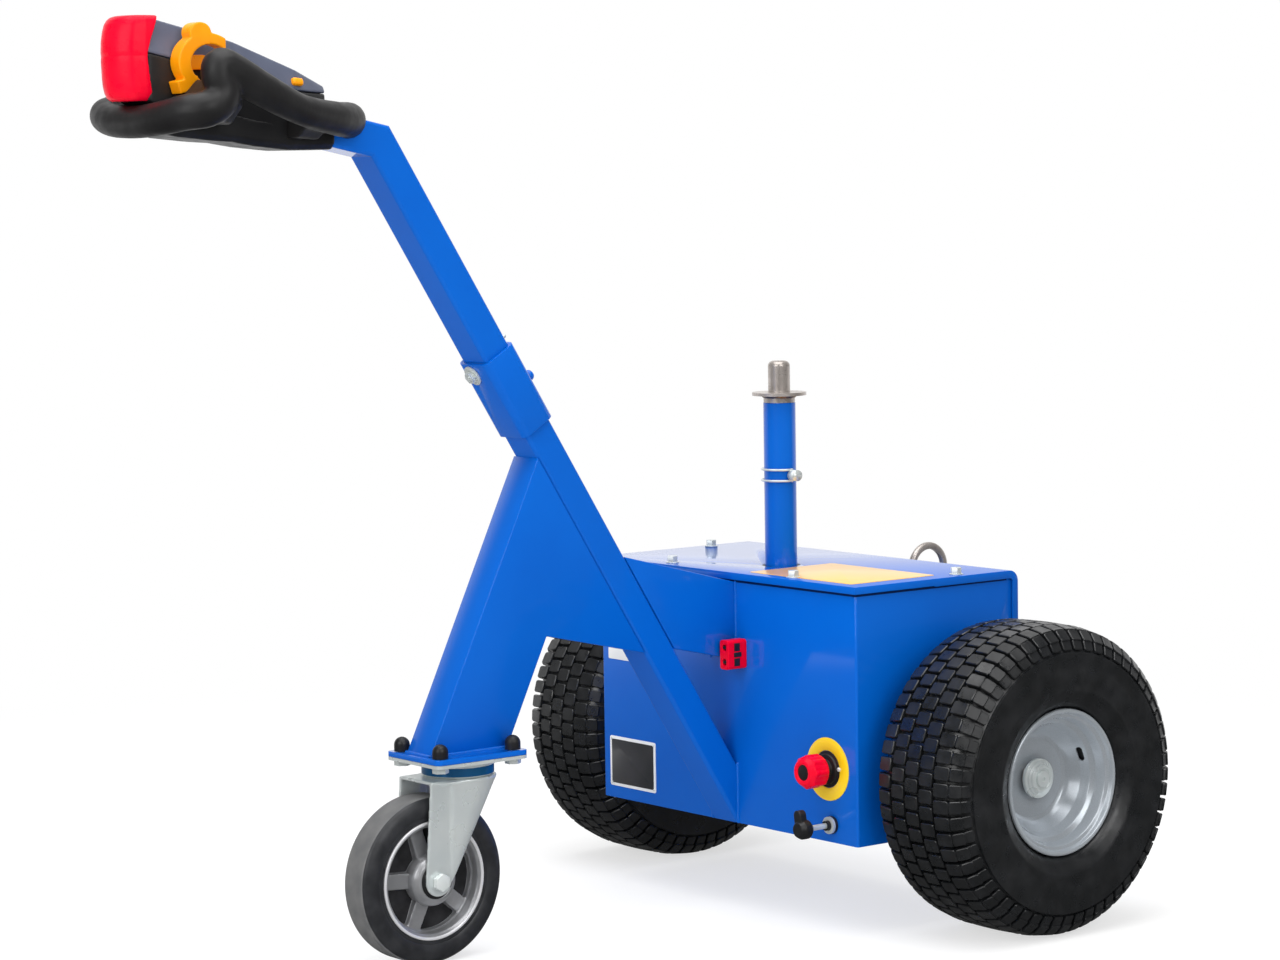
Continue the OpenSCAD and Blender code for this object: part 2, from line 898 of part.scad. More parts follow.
module hitch_pin() {
    spigot_d = post_d - 2 * post_t - 2 * run_gap;
    spigot_in = 30;
    flange_z = post_top + collar_h;
    dome_h = pin_d / 4;
    color(steel)
        translate([0, post_y, 0])
            difference() {
                union() {
                    translate([0, 0, lock_pin_z - spigot_in])
                        cylinder(d = spigot_d, h = post_top - lock_pin_z + spigot_in + 1, $fn = round_fn);
                    translate([0, 0, post_top])
                        cylinder(d = collar_d, h = collar_h, $fn = round_fn);
                    translate([0, 0, flange_z])
                        cylinder(d = flange_d, h = flange_t, $fn = round_fn);
                    translate([0, 0, flange_z + flange_t]) {
                        cylinder(d = pin_d, h = pin_h - dome_h, $fn = round_fn);
                        translate([0, 0, pin_h - dome_h])
                            rotate_extrude($fn = round_fn) {
                                square([pin_d / 2 - dome_h, dome_h]);
                                translate([pin_d / 2 - dome_h, 0])
                                    intersection() {
                                        circle(dome_h, $fn = small_fn);
                                        square(dome_h);
                                    }
                            }
                    }
                }
                translate([0, 0, lock_pin_z])
                    rotate([0, 90, 0])
                        cylinder(d = lock_pin_d + 2 * run_gap, h = 2 * post_d, center = true, $fn = small_fn);
            }
}

// Lock pin through the post, with a wire bail that swings round the front of it
module lock_pin() {
    wire_d = 3;
    bail_h = 14;
    bail_r = post_d / 2 + 1 + wire_d / 2;
    reach = post_d / 2 + 3;
    head_d = 14;
    head_l = 9;
    color(zinc)
        translate([0, post_y, lock_pin_z]) {
            bar_x(lock_pin_d, -reach - 2, reach + head_l);
            bar_x(head_d, reach, reach + head_l);
            for (end = [-1, 1])
                translate([0, 0, end * bail_h / 2])
                    rotate([0, 0, 180])
                        rotate_extrude(angle = 180, $fn = round_fn)
                            translate([bail_r, 0])
                                circle(d = wire_d, $fn = small_fn);
            for (side = [-1, 1])
                translate([side * bail_r, 0, 0])
                    cylinder(d = wire_d, h = bail_h + wire_d, center = true, $fn = small_fn);
        }
}

// Towing eye: a forged ring on a shank and a pad bolted to the rear of the body
module tow_eye() {
    pad_w = 44;
    pad_h = 32;
    pad_t = 5;
    shank_d = 16;
    from_rear = sheet_t + lid_gap + seat_gap;
    color(steel)
        translate([0, rear_y + eye_reach, eye_z])
            difference() {
                union() {
                    rotate([0, 90, 0])
                        rotate_extrude($fn = round_fn)
                            translate([eye_r - eye_bar_d / 2, 0])
                                circle(d = eye_bar_d, $fn = small_fn);
                    translate([0, -eye_r + eye_bar_d / 2, 0])
                        rotate([90, 0, 0])
                            cylinder(d = shank_d, h = eye_reach - eye_r - from_rear + eye_bar_d / 2, $fn = small_fn);
                    translate([-pad_w / 2, -eye_reach + from_rear, -pad_h / 2])
                        cube([pad_w, pad_t, pad_h]);
                }
                rotate([0, 90, 0])
                    cylinder(d = eye_hole_d, h = 3 * eye_bar_d, center = true, $fn = round_fn);
            }
}

// ---- Controls on the body ----

stop_x = body_w / 2 - 54;
stop_z = body_clear + 90;
stop_ring_d = 78;
stop_barrel_l = 18;
stop_knob_d = 42;
stop_knob_l = 31;

// Yellow ring on the body round the stop switch, with the switch's round barrel
module stop_switch_base() {
    color("gold")
        translate([stop_x, front_y, stop_z])
            rotate([90, 0, 0]) {
                difference() {
                    cylinder(d = stop_ring_d, h = 1.2, $fn = round_fn);
                    translate([0, 0, -1])
                        cylinder(d = stop_ring_d * 0.74, h = 4, $fn = round_fn);
                }
                cylinder(d = stop_ring_d * 0.76, h = 0.6, $fn = round_fn);
                cylinder(d = stop_knob_d - 6, h = 6, $fn = round_fn);
                cylinder(d = stop_knob_d * 0.6, h = stop_barrel_l, $fn = round_fn);
            }
}

// Red knob with round lobes to turn it by, and a sunk face
module stop_switch_knob() {
    lobes = 8;
    color("red")
        translate([stop_x, front_y - stop_barrel_l - seat_gap, stop_z])
            rotate([90, 0, 0])
                difference() {
                    union() {
                        rotate_extrude($fn = round_fn)
                            polygon([
                                [0, 0],
                                [stop_knob_d * 0.36, 0],
                                [stop_knob_d * 0.46, 4],
                                [stop_knob_d * 0.46, stop_knob_l - 6],
                                [stop_knob_d * 0.36, stop_knob_l],
                                [0, stop_knob_l]
                            ]);
                        for (i = [0 : lobes - 1])
                            rotate(i * 360 / lobes)
                                translate([stop_knob_d * 0.4, 0, 5])
                                    cylinder(r = stop_knob_d * 0.1, h = stop_knob_l - 11, $fn = small_fn);
                    }
                    translate([0, 0, stop_knob_l - 2])
                        cylinder(d = stop_knob_d * 0.5, h = 3, $fn = round_fn);
                }
}

// Two-pole charging connector beside the gusset
module charge_socket() {
    socket_w = 17;
    socket_l = 30;
    socket_h = 37;
    socket_z = body_top - 119;
    corner = 4;
    slot_w = 7;
    color("red")
        translate([arm_w / 2 + 4 + socket_w / 2, front_y, socket_z + socket_h / 2])
            rotate([90, 0, 0])
                difference() {
                    linear_extrude(socket_l)
                        round_rect(socket_w, socket_h, corner);
                    for (end = [-1, 1])
                        translate([-slot_w / 2, end * socket_h / 4 - socket_h / 10, socket_l - 9])
                            cube([slot_w, socket_h / 5, 10]);
                }
}

release_x = body_w / 2 - 47;
release_z = body_clear + 22;
release_l = 36;

module release_rod() {
    color(zinc)
        translate([release_x, front_y, release_z])
            rotate([90, 0, 0]) {
                cylinder(d = 7, h = release_l, $fn = small_fn);
                cylinder(d = 21, h = 7, $fn = small_fn);
            }
}

// Knob of the drive release, with a wing to turn it by
module release_knob() {
    knob_d = 24;
    knob_l = 20;
    wing_l = 24;
    wing_w = 13;
    color(black)
        translate([release_x, front_y - release_l - seat_gap, release_z])
            rotate([90, 0, 0]) {
                rotate_extrude($fn = round_fn)
                    polygon([
                        [0, 0],
                        [knob_d * 0.3, 0],
                        [knob_d / 2, knob_l * 0.25],
                        [knob_d / 2, knob_l * 0.7],
                        [knob_d * 0.36, knob_l],
                        [0, knob_l]
                    ]);
                rotate(100)
                    translate([0, 0, knob_l * 0.4])
                        linear_extrude(knob_l * 0.5) {
                            translate([0, -wing_w / 2])
                                square([wing_l - wing_w / 2, wing_w]);
                            translate([wing_l - wing_w / 2, 0])
                                circle(d = wing_w, $fn = small_fn);
                        }
            }
}

// ---- Handle ----
// It is laid out in [distance forward from the nose, height above its lowest line].

handle_y = tube_bend_y - nose_from_bend;
handle_low_z = bend_z - 12;
face_s = handle_l - button_l;
front_s = face_s - 79;
tail_s = 105;
tip_s = 54;
cover_front_h = handle_h - 41;
cover_lip = 8;
button_low_h = handle_h - button_h;
skin_gap = 0.4;

belly_line = [[64, 2], [94, 1], [148, 7], [front_s - 30, 12], [front_s + 19, 13]];
seam_line = [[64, 5], [front_s, 35], [face_s - 15, 50], [face_s, button_low_h]];
cover_edge_line = [[tip_s, 67], [tail_s, 69], [face_s, cover_front_h]];
crest_line = [[tip_s, 75], [tail_s, 93], [face_s - 116, 124], [face_s - 12, handle_h - 3]];
half_width_line = [[tip_s, 9], [tail_s, console_w / 2], [face_s, console_w / 2]];

// Point of the handle from [across, forward, up]
function on_handle(p) = [p[0], handle_y - p[1], handle_low_z + p[2]];

// Closed solid skinned over a row of rings with the same number of points each
module skin(rings, closed = false) {
    n = len(rings[0]);
    count = len(rings);
    last = closed ? count - 1 : count - 2;
    polyhedron(
        points = [for (ring = rings, p = ring) p],
        faces = concat(
            closed ? [] : [[for (k = [0 : n - 1]) k]],
            [for (i = [0 : last], k = [0 : n - 1])
                let (a = i * n + k, b = i * n + (k + 1) % n, up = (i + 1) % count * n - i * n)
                    each [[a, a + up, b + up], [a, b + up, b]]],
            closed ? [] : [[for (k = [n - 1 : -1 : 0]) (count - 1) * n + k]]
        )
    );
}

// Ring across the handle at s: round-cornered, from half width low at h0 to half width high at h1
function slab_ring(s, low, high, h0, h1, r) = [
    for (corner = [[1, -1], [1, 1], [-1, 1], [-1, -1]], i = [0 : 3])
        let (side = corner[0], top = corner[1],
            half = top > 0 ? high : low,
            turn = 30 * (side * top > 0 ? i : 3 - i))
            on_handle([
                side * (half - r + r * cos(turn)),
                s,
                (top > 0 ? h1 - r : h0 + r) + top * r * sin(turn)
            ])
];

// Black body of the console, between the seam and the cover
module console() {
    stations = [tip_s, 84, 85, tail_s, 150, front_s, face_s - 15, face_s - 3, face_s];
    edge = 2;
    color(black)
        skin([for (s = stations)
            let (half = lookup(s, half_width_line) - (s == face_s ? edge : 0),
                low = s < 85 ? 52 : lookup(s, seam_line) + 2 * skin_gap,
                high = lookup(s, cover_edge_line) - skin_gap)
                slab_ring(s, half, half, low, high, edge)]);
}

// Grey cover with sloping sides that closes the top of the console
module console_cover() {
    stations = [tip_s, tail_s, 145, face_s - 116, face_s - 60, face_s - 14];
    chamfer = 0.3;
    color([0.42, 0.45, 0.50])
        skin(concat(
            [for (s = stations)
                let (half = lookup(s, half_width_line),
                    low = lookup(s, cover_edge_line),
                    high = lookup(s, crest_line))
                    slab_ring(s, half, half - chamfer * (high - low), low, high, 1.5)],
            [slab_ring(face_s, console_w / 2, console_w / 2 - 2, cover_front_h, cover_front_h + cover_lip, 1.5)]
        ));
}

// Closed outline of the red button at a share u of its height, crowned forwards
function button_ring(u) =
    let (h = button_low_h + u * button_h,
        back = face_s + skin_gap - max(0, h - cover_front_h - cover_lip) * 0.4,
        crown = 1 - pow(abs(2 * u - 1), 3),
        edge = 10,
        groove = abs(u - 0.52) < 0.015 ? 1.5 : 0,
        depth = edge + (button_l - skin_gap - edge) * crown - groove,
        half = button_w / 2 - 3 + 3 * pow(crown, 0.3) - groove,
        n = 18)
        [for (i = [0 : n]) let (a = 180 * i / n)
            on_handle([
                half * sign(cos(a)) * pow(abs(cos(a)), 0.8),
                back + (i == 0 || i == n ? 0 : depth * pow(sin(a), 0.8)),
                h
            ])];

module belly_button() {
    levels = [1, 0.985, 0.95, 0.88, 0.78, 0.65, 0.55, 0.535, 0.52, 0.505, 0.49, 0.4, 0.27, 0.15, 0.07, 0.02, 0];
    color([0.97, 0.10, 0.25])
        skin([for (u = levels) button_ring(u)]);
}

lever_s = face_s - 56;
lever_h = 94;
lever_in = console_w / 2 + skin_gap;

// Side view of a thumb lever in [forward, up]: a bow round the grip's end with two wings
module lever_outline() {
    bow_out = 33;
    bow_in = 22;
    difference() {
        circle(bow_out, $fn = round_fn);
        translate([-3, -2])
            circle(bow_in, $fn = round_fn);
        translate([-2 * bow_out, -bow_out / 2])
            square([2 * bow_out - 5, bow_out * 0.9]);
        translate([-2 * bow_out - 20, -bow_out])
            square([2 * bow_out, 2 * bow_out]);
    }
    translate([8, 33])
        circle(12, $fn = round_fn);
    translate([bow_in, -bow_in - 4])
        rotate(-15)
            square([24, 15], center = true);
}

module thumb_levers() {
    lever_w = 20;
    hub_d = 17;
    color("orange")
        for (side = [0, 1])
            mirror([side, 0, 0])
                translate(on_handle([lever_in, lever_s, lever_h]))
                    mirror([0, 1, 0])
                        rotate([90, 0, 90]) {
                            linear_extrude(lever_w)
                                lever_outline();
                            linear_extrude(lever_w / 3)
                                union() {
                                    circle(d = hub_d, $fn = small_fn);
                                    translate([0, -hub_d / 2])
                                        square([30, hub_d]);
                                }
                        }
}

module horn_button() {
    button_d = 9;
    button_h = 4.5;
    button_s = tail_s + 6;
    inset = 14;
    rise = lookup(button_s + 1, crest_line) - lookup(button_s, crest_line);
    color("orange")
        translate(on_handle([console_w / 2 - inset, button_s, lookup(button_s, crest_line) + seat_gap]))
            rotate([-atan(rise), 0, 0])
                cylinder(d = button_d, h = button_h, $fn = small_fn);
}

// Route of the right half of the grip: [across, forward, up, width, height]
function grip_route() =
    let (out = grip_reach - grip_w / 2, w = grip_w, h = grip_h)
    [
        [0, w / 2, 41, w, h - 2],
        [30, 34, 42, w, h - 2],
        [0.64 * out, 85, 48, w, h],
        [0.87 * out, 140, 60, w, h],
        [0.98 * out, 195, 80, w, h],
        [out, face_s - 62, 94, w, h - 2],
        [out - 5, face_s - 32, 84, w, h - 6],
        [0.78 * out, face_s - 16, 60, w - 1, h - 11],
        [0.54 * out, face_s - 20, 38, w - 3, h - 16],
        [0.26 * out, face_s - 42, 28, w - 4, h - 20],
        [0, face_s - 54, 26, w - 4, h - 20]
    ];

// Row i of a route; the rows past either end belong to its mirrored half
function row_at(p, i) =
    let (last = len(p) - 1,
        k = i < 0 ? -i : i > last ? 2 * last - i : i,
        side = i < 0 || i > last ? -1 : 1)
        [side * p[k][0], p[k][1], p[k][2], p[k][3], p[k][4]];

// Smooth curve through the rows of a route, a share t of the way from row i to the next
function along(p, i, t) =
    let (a = row_at(p, i - 1), b = row_at(p, i), c = row_at(p, i + 1), d = row_at(p, i + 2))
        (2 * b + (c - a) * t + (2 * a - 5 * b + 4 * c - d) * t * t + (3 * b - a - 3 * c + d) * t * t * t) / 2;

function unit(v) = v / norm(v);

// Oval ring square to the route
function grip_ring(p, i, t) =
    let (step = 0.02,
        here = along(p, i, t),
        ahead = along(p, i, t + step),
        way = unit([ahead[0] - here[0], ahead[1] - here[1], ahead[2] - here[2]]),
        across = unit(cross(way, [0, 0, 1])),
        lift = cross(across, way),
        sides = 16)
        [for (k = [0 : sides - 1]) let (a = 360 * k / sides)
            on_handle([here[0], here[1], here[2]]
                + across * (here[3] / 2 * cos(a)) + lift * (here[4] / 2 * sin(a)))];

// One closed loop of grip round both sides, with the lower shell between its ends
module grips() {
    route = grip_route();
    last = len(route) - 1;
    steps = 3;
    color(black)
        difference() {
            union() {
                skin(concat(
                    [for (i = [0 : last - 1], k = [0 : steps - 1]) grip_ring(route, i, k / steps)],
                    [for (i = [last : -1 : 1], k = [0 : steps - 1])
                        [for (p = grip_ring(route, i - 1, 1 - k / steps)) [-p[0], p[1], p[2]]]]
                ), closed = true);
                skin([for (s = [64, 94, 148, front_s - 30, front_s + 19])
                    slab_ring(s, 20, 28, lookup(s, belly_line), lookup(s, seam_line), 1.2)]);
            }
            stub_frame()
                translate([0, 0, -tube_d])
                    linear_extrude(stub_l + tube_d + seat_gap)
                        round_rect(tube_w + 2 * seat_gap, tube_d + 2 * seat_gap, tube_r);
        }
}

housing();
lid();
battery(-1);  // battery_left
battery(1);  // battery_right
drive_unit();
axle_housing(-1);  // axle_housing_left
axle_housing(1);  // axle_housing_right
lower_tube();
sleeve();
upper_tube();
sleeve_bolt();
arm_neck();
arm_gusset();
foot_plate();
plate_bolts();
bolt_caps();
castor_plate();
castor_fork();
castor_axle();
castor_rim();
castor_tyre();
shaft(-1);  // shaft_left
shaft(1);  // shaft_right
rim(-1);  // rim_left
rim(1);  // rim_right
tyre(-1);  // tyre_left
tyre(1);  // tyre_right
hitch_post();
hitch_pin();
lock_pin();
tow_eye();
stop_switch_base();
stop_switch_knob();
charge_socket();
release_rod();
release_knob();
console();
console_cover();
belly_button();
thumb_levers();
horn_button();
grips();
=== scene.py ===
import json
import math

import bmesh
import bpy
from mathutils import Euler, Matrix, Vector
from mathutils.bvhtree import BVHTree


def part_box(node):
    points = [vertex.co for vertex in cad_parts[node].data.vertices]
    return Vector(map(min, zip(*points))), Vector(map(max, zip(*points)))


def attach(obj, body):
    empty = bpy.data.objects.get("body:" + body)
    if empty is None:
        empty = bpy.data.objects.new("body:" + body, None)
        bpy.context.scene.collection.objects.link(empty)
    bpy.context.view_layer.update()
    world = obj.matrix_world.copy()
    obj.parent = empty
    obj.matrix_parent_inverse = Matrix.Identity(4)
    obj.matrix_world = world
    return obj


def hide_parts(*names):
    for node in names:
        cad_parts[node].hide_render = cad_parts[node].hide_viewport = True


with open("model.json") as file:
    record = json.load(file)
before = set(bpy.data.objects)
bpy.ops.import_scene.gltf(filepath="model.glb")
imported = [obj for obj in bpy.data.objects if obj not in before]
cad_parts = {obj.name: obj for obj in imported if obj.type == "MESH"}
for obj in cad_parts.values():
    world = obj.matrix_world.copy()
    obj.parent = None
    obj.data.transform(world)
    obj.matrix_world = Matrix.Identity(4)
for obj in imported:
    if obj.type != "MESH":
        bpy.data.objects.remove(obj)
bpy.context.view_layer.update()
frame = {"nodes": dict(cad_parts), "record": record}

MM = 0.001
UP = Vector((0, 0, 1))
FRONT = Vector((0, -1, 0))
SIDES = ((1, "right"), (-1, "left"))


# ---- Places taken from the frame ----

def low(node):
    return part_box(node)[0]


def high(node):
    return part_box(node)[1]


def middle(node):
    return (low(node) + high(node)) / 2


# Places in metres, as the frame gives them.
AXLE_Y = middle("tyre_right").y
AXLE_Z = middle("tyre_right").z
WHEEL_X = middle("tyre_right").x
RIM_X = high("rim_right").x
HUB_X = high("shaft_right").x
FRONT_Y = low("housing").y
LID_TOP = high("lid").z
BODY_CLEAR = low("housing").z
ARM_HALF = high("arm_neck").x
POST = middle("hitch_post")
HANDLE_Y = high("grips").y
CASTOR_AXLE = middle("castor_tyre")
KNOB_IN = 7.5 * MM
BUTTON_TOP = 152 * MM
HANDLE_LOW = high("belly_button").z - BUTTON_TOP
TILLER_LEAN = math.radians(32.2)
TUBE_DEPTH = 40 * MM
TUBE_ROOT_Z = BODY_CLEAR + TUBE_DEPTH / 2 / math.sin(TILLER_LEAN)

# Radii and half widths in millimetres, for the profiles.
POST_R = 20.6
CASTOR_R = (high("castor_tyre").z - CASTOR_AXLE.z) / MM
CASTOR_HALF = (high("castor_tyre").x - CASTOR_AXLE.x) / MM
HUB_HALF = (high("castor_rim").x - CASTOR_AXLE.x) / MM


def from_axle(x, y, z):
    """A place given in millimetres, with its length measured from the axle."""
    return Vector((x * MM, AXLE_Y + y * MM, z * MM))


def on_front(x, z, ahead=0.0):
    """A place in millimetres on the front of the body, or some way ahead of it."""
    return from_axle(x, (FRONT_Y - AXLE_Y) / MM - ahead, z)


def on_lid(x, y):
    """A place in millimetres on the lid, with its length measured from the axle."""
    place = from_axle(x, y, 0)
    place.z = LID_TOP
    return place


def on_tiller(across, behind, along):
    """Matrix of a place on the tiller tube in millimetres, +Z along the tube."""
    root = Matrix.Translation((0, FRONT_Y, TUBE_ROOT_Z)) @ Matrix.Rotation(TILLER_LEAN, 4, "X")
    return root @ Matrix.Translation((across * MM, behind * MM, along * MM))


def on_handle(x, ahead, up):
    """A place on the handle, in millimetres ahead of its rear end and above its floor line."""
    return Vector((x * MM, HANDLE_Y - ahead * MM, HANDLE_LOW + up * MM))


# ---- Bmesh helpers ----

DOUBLES = 1e-6
FLAT, SHARP = math.radians(0.5), math.radians(40)
WELD_PITCH = 0.55


def aimed(place, axis=UP):
    """Matrix that carries a part made along +Z to a place and an axis."""
    return Matrix.Translation(place) @ UP.rotation_difference(Vector(axis)).to_matrix().to_4x4()


def placed_object(name, data):
    """An object in the scene that holds a mesh, a curve, a lamp or a camera."""
    holder = bpy.data.objects.new(name, data)
    bpy.context.scene.collection.objects.link(holder)
    return holder


def add_evaluated(bm, holder):
    """Adds an object to a piece, its modifiers or its bevel applied, and removes the object."""
    graph = bpy.context.evaluated_depsgraph_get()
    mesh = bpy.data.meshes.new_from_object(holder.evaluated_get(graph))
    bm.from_mesh(mesh)
    bpy.data.objects.remove(holder)
    bpy.data.meshes.remove(mesh)
    return bm


def join(bm, part, placed=None):
    """Adds a finished part to a piece."""
    if placed is not None:
        bmesh.ops.transform(part, matrix=placed, verts=part.verts)
    mesh = bpy.data.meshes.new("part")
    part.to_mesh(mesh)
    part.free()
    bm.from_mesh(mesh)
    bpy.data.meshes.remove(mesh)


def rounded(part, geom, width, segments=2, affect="EDGES", **limits):
    """Rounds edges or corners by a width in millimetres."""
    bmesh.ops.bevel(part, geom=geom, offset=width * MM, offset_type="OFFSET",
                    segments=segments, profile=0.5, affect=affect, material=-1, **limits)


def turned(bm, profile, placed, steps=64, rounding=0.0, closed=False):
    """Turns a profile of (radius, along) millimetres round +Z, its corners rounded."""
    part = bmesh.new()
    verts = [part.verts.new((radius * MM, 0, along * MM)) for radius, along in profile]
    for pair in zip(verts, verts[1:] + verts[:1] if closed else verts[1:]):
        part.edges.new(pair)
    if rounding:
        rounded(part, verts if closed else verts[1:-1], rounding, 3, "VERTICES")
    bmesh.ops.spin(part, geom=part.verts[:] + part.edges[:], cent=(0, 0, 0), axis=(0, 0, 1),
                   angle=math.tau, steps=steps, use_merge=True)
    bmesh.ops.remove_doubles(part, verts=part.verts, dist=DOUBLES)
    bmesh.ops.recalc_face_normals(part, faces=part.faces)
    join(bm, part, placed)


def block(bm, size, placed, edge=0.0, segments=2):
    """A block of a size in millimetres with rounded edges."""
    part = bmesh.new()
    bmesh.ops.create_cube(part, size=1, matrix=Matrix.Diagonal((*(Vector(size) * MM), 1)))
    if edge:
        rounded(part, part.edges[:], edge, segments)
    join(bm, part, placed)


def slab(bm, size, corner, placed, edge=0.3):
    """A flat plate with round corners, its back on the place and its face along +Z."""
    part = bmesh.new()
    wide, tall, thick = (value * MM for value in size)
    bmesh.ops.create_cube(part, size=1, matrix=Matrix.Translation((0, 0, thick / 2))
                          @ Matrix.Diagonal((wide, tall, thick, 1)))
    upright = [e for e in part.edges if abs(e.verts[0].co.z - e.verts[1].co.z) > thick / 2]
    rounded(part, upright, corner, 6)
    rim = [e for e in part.edges if min(v.co.z for v in e.verts) > thick / 2]
    rounded(part, rim, edge)
    join(bm, part, placed)


def hex_head(bm, across, height, placed):
    """A hexagon head on +Z with its top edge turned off."""
    part = bmesh.new()
    radius = across / 2 / math.cos(math.pi / 6) * MM
    bmesh.ops.create_cone(part, cap_ends=True, segments=6, radius1=radius, radius2=radius,
                          depth=height * MM, matrix=Matrix.Translation((0, 0, height * MM / 2)))
    top = [e for e in part.edges if min(v.co.z for v in e.verts) > height * MM / 2]
    rounded(part, top, 0.8)
    join(bm, part, placed)


def round_head(bm, radius, height, placed, dome=0.4):
    """A round head on +Z with a softened edge."""
    flat, soft = radius * 0.72, height * 0.18
    turned(bm, [(0, 0), (radius, 0), (radius, height * (1 - dome)), (flat, height), (0, height)],
           placed, steps=24, rounding=soft)


def sheet(profile, thick):
    """Closed outline of a bent sheet: its face and the same line set back by the thickness."""
    back = []
    for i, point in enumerate(profile):
        run = Vector(profile[min(i + 1, len(profile) - 1)]) - Vector(profile[max(i - 1, 0)])
        run.normalize()
        back.append((point[0] + run.y * thick, point[1] - run.x * thick))
    return list(profile) + back[::-1]


def eased(points, steps=6):
    """Points of a smooth closed line through the given (x, y, z, radius) points."""
    line = []
    for i in range(len(points)):
        a, b, c, d = (points[(i + k) % len(points)] for k in (-1, 0, 1, 2))
        for n in range(steps):
            t = n / steps
            line.append([0.5 * (2 * q + (r - p) * t + (2 * p - 5 * q + 4 * r - s) * t * t
                                + (3 * q - p - 3 * r + s) * t ** 3)
                         for p, q, r, s in zip(a, b, c, d)])
    return line


def closed_wire(bm, points):
    """A closed round wire through points of x, y and z in metres and a radius in millimetres."""
    curve = bpy.data.curves.new("wire", "CURVE")
    curve.dimensions = "3D"
    curve.bevel_depth = MM
    curve.bevel_resolution = 6
    curve.use_fill_caps = True
    spline = curve.splines.new("POLY")
    spline.points.add(len(points) - 1)
    spline.use_cyclic_u = True
    for knot, (x, y, z, radius) in zip(spline.points, points):
        knot.co = (x, y, z, 1)
        knot.radius = radius
    add_evaluated(bm, placed_object("wire", curve))


def loft(bm, rings):
    """A closed skin through rings of points in metres, each with the same count."""
    part = bmesh.new()
    loops = [[part.verts.new(point) for point in ring] for ring in rings]
    for lower, upper in zip(loops, loops[1:]):
        for n in range(len(lower)):
            m = (n + 1) % len(lower)
            part.faces.new((lower[n], lower[m], upper[m], upper[n]))
    part.faces.new(loops[0][::-1])
    part.faces.new(loops[-1])
    bmesh.ops.recalc_face_normals(part, faces=part.faces)
    join(bm, part)


def weld(bm, start, end, width=3.0):
    """A ripple weld along a line: overlapping drops, each lying over the last."""
    run = end - start
    count = max(2, round(run.length / (width * WELD_PITCH * MM)))
    for i in range(count + 1):
        drop = bmesh.ops.create_icosphere(bm, subdivisions=2, radius=width * MM)["verts"]
        bmesh.ops.transform(bm, verts=drop, matrix=Matrix.Translation(start + run * i / count))


def merged_copy(node):
    """A bmesh copy of a CAD node with its loose triangles joined."""
    bm = bmesh.new()
    bm.from_mesh(frame["nodes"][node].data)
    bmesh.ops.remove_doubles(bm, verts=bm.verts, dist=2 * DOUBLES)
    return bm


def cut(bm, make_tool):
    """The bmesh with the shape that a tool maker adds to a bmesh taken out of it."""
    tool = bmesh.new()
    make_tool(tool)
    holders = []
    for part in (bm, tool):
        mesh = bpy.data.meshes.new("cut")
        part.to_mesh(mesh)
        part.free()
        holders.append(placed_object("cut", mesh))
    taken = holders[0].modifiers.new("taken", "BOOLEAN")
    taken.operation = "DIFFERENCE"
    taken.solver = "EXACT"
    taken.object = holders[1]
    shaped = add_evaluated(bmesh.new(), holders[0])
    bpy.data.objects.remove(holders[1])
    return shaped


def moulding(bm, voxel, passes):
    """The bmesh made one even skin with every edge eased."""
    mesh = bpy.data.meshes.new("blank")
    bm.to_mesh(mesh)
    bm.free()
    holder = placed_object("blank", mesh)
    even = holder.modifiers.new("even", "REMESH")
    even.mode = "VOXEL"
    even.voxel_size = voxel * MM
    ease = holder.modifiers.new("ease", "SMOOTH")
    ease.factor = 0.5
    ease.iterations = passes
    return add_evaluated(bmesh.new(), holder)


# ---- Finished pieces ----

def finished(name, bm, finish, body, replaced=(), crease=38):
    """Makes a piece from its bmesh, gives it a finish and hangs it on a body."""
    mesh = bpy.data.meshes.new(name)
    bm.to_mesh(mesh)
    bm.free()
    mesh.materials.append(finish)
    mesh.shade_smooth()
    mesh.set_sharp_from_angle(angle=math.radians(crease))
    piece = placed_object(name, mesh)
    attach(piece, body)
    if replaced:
        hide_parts(*replaced)


def turned_piece(name, profile, places, finish, body, replaced=(), **turning):
    """A piece turned from one profile, at each of the given places."""
    bm = bmesh.new()
    for placed in places:
        turned(bm, profile, placed, **turning)
    finished(name, bm, finish, body, replaced)


def softened(name, node, voxel, passes, finish, body):
    """A moulded or cast piece: the CAD node with every edge eased."""
    bm = moulding(merged_copy(node), voxel, passes)
    finished(name, bm, finish, body, (node,), crease=60)


def edged(name, node, width, finish, body):
    """A sheet or bar piece: the CAD node with its sharp edges broken."""
    bm = merged_copy(node)
    bmesh.ops.dissolve_limit(bm, angle_limit=FLAT, verts=bm.verts, edges=bm.edges)
    sharp = [e for e in bm.edges if len(e.link_faces) == 2 and e.calc_face_angle() > SHARP]
    rounded(bm, sharp, width, clamp_overlap=True)
    finished(name, bm, finish, body, (node,))


# ---- Finishes ----

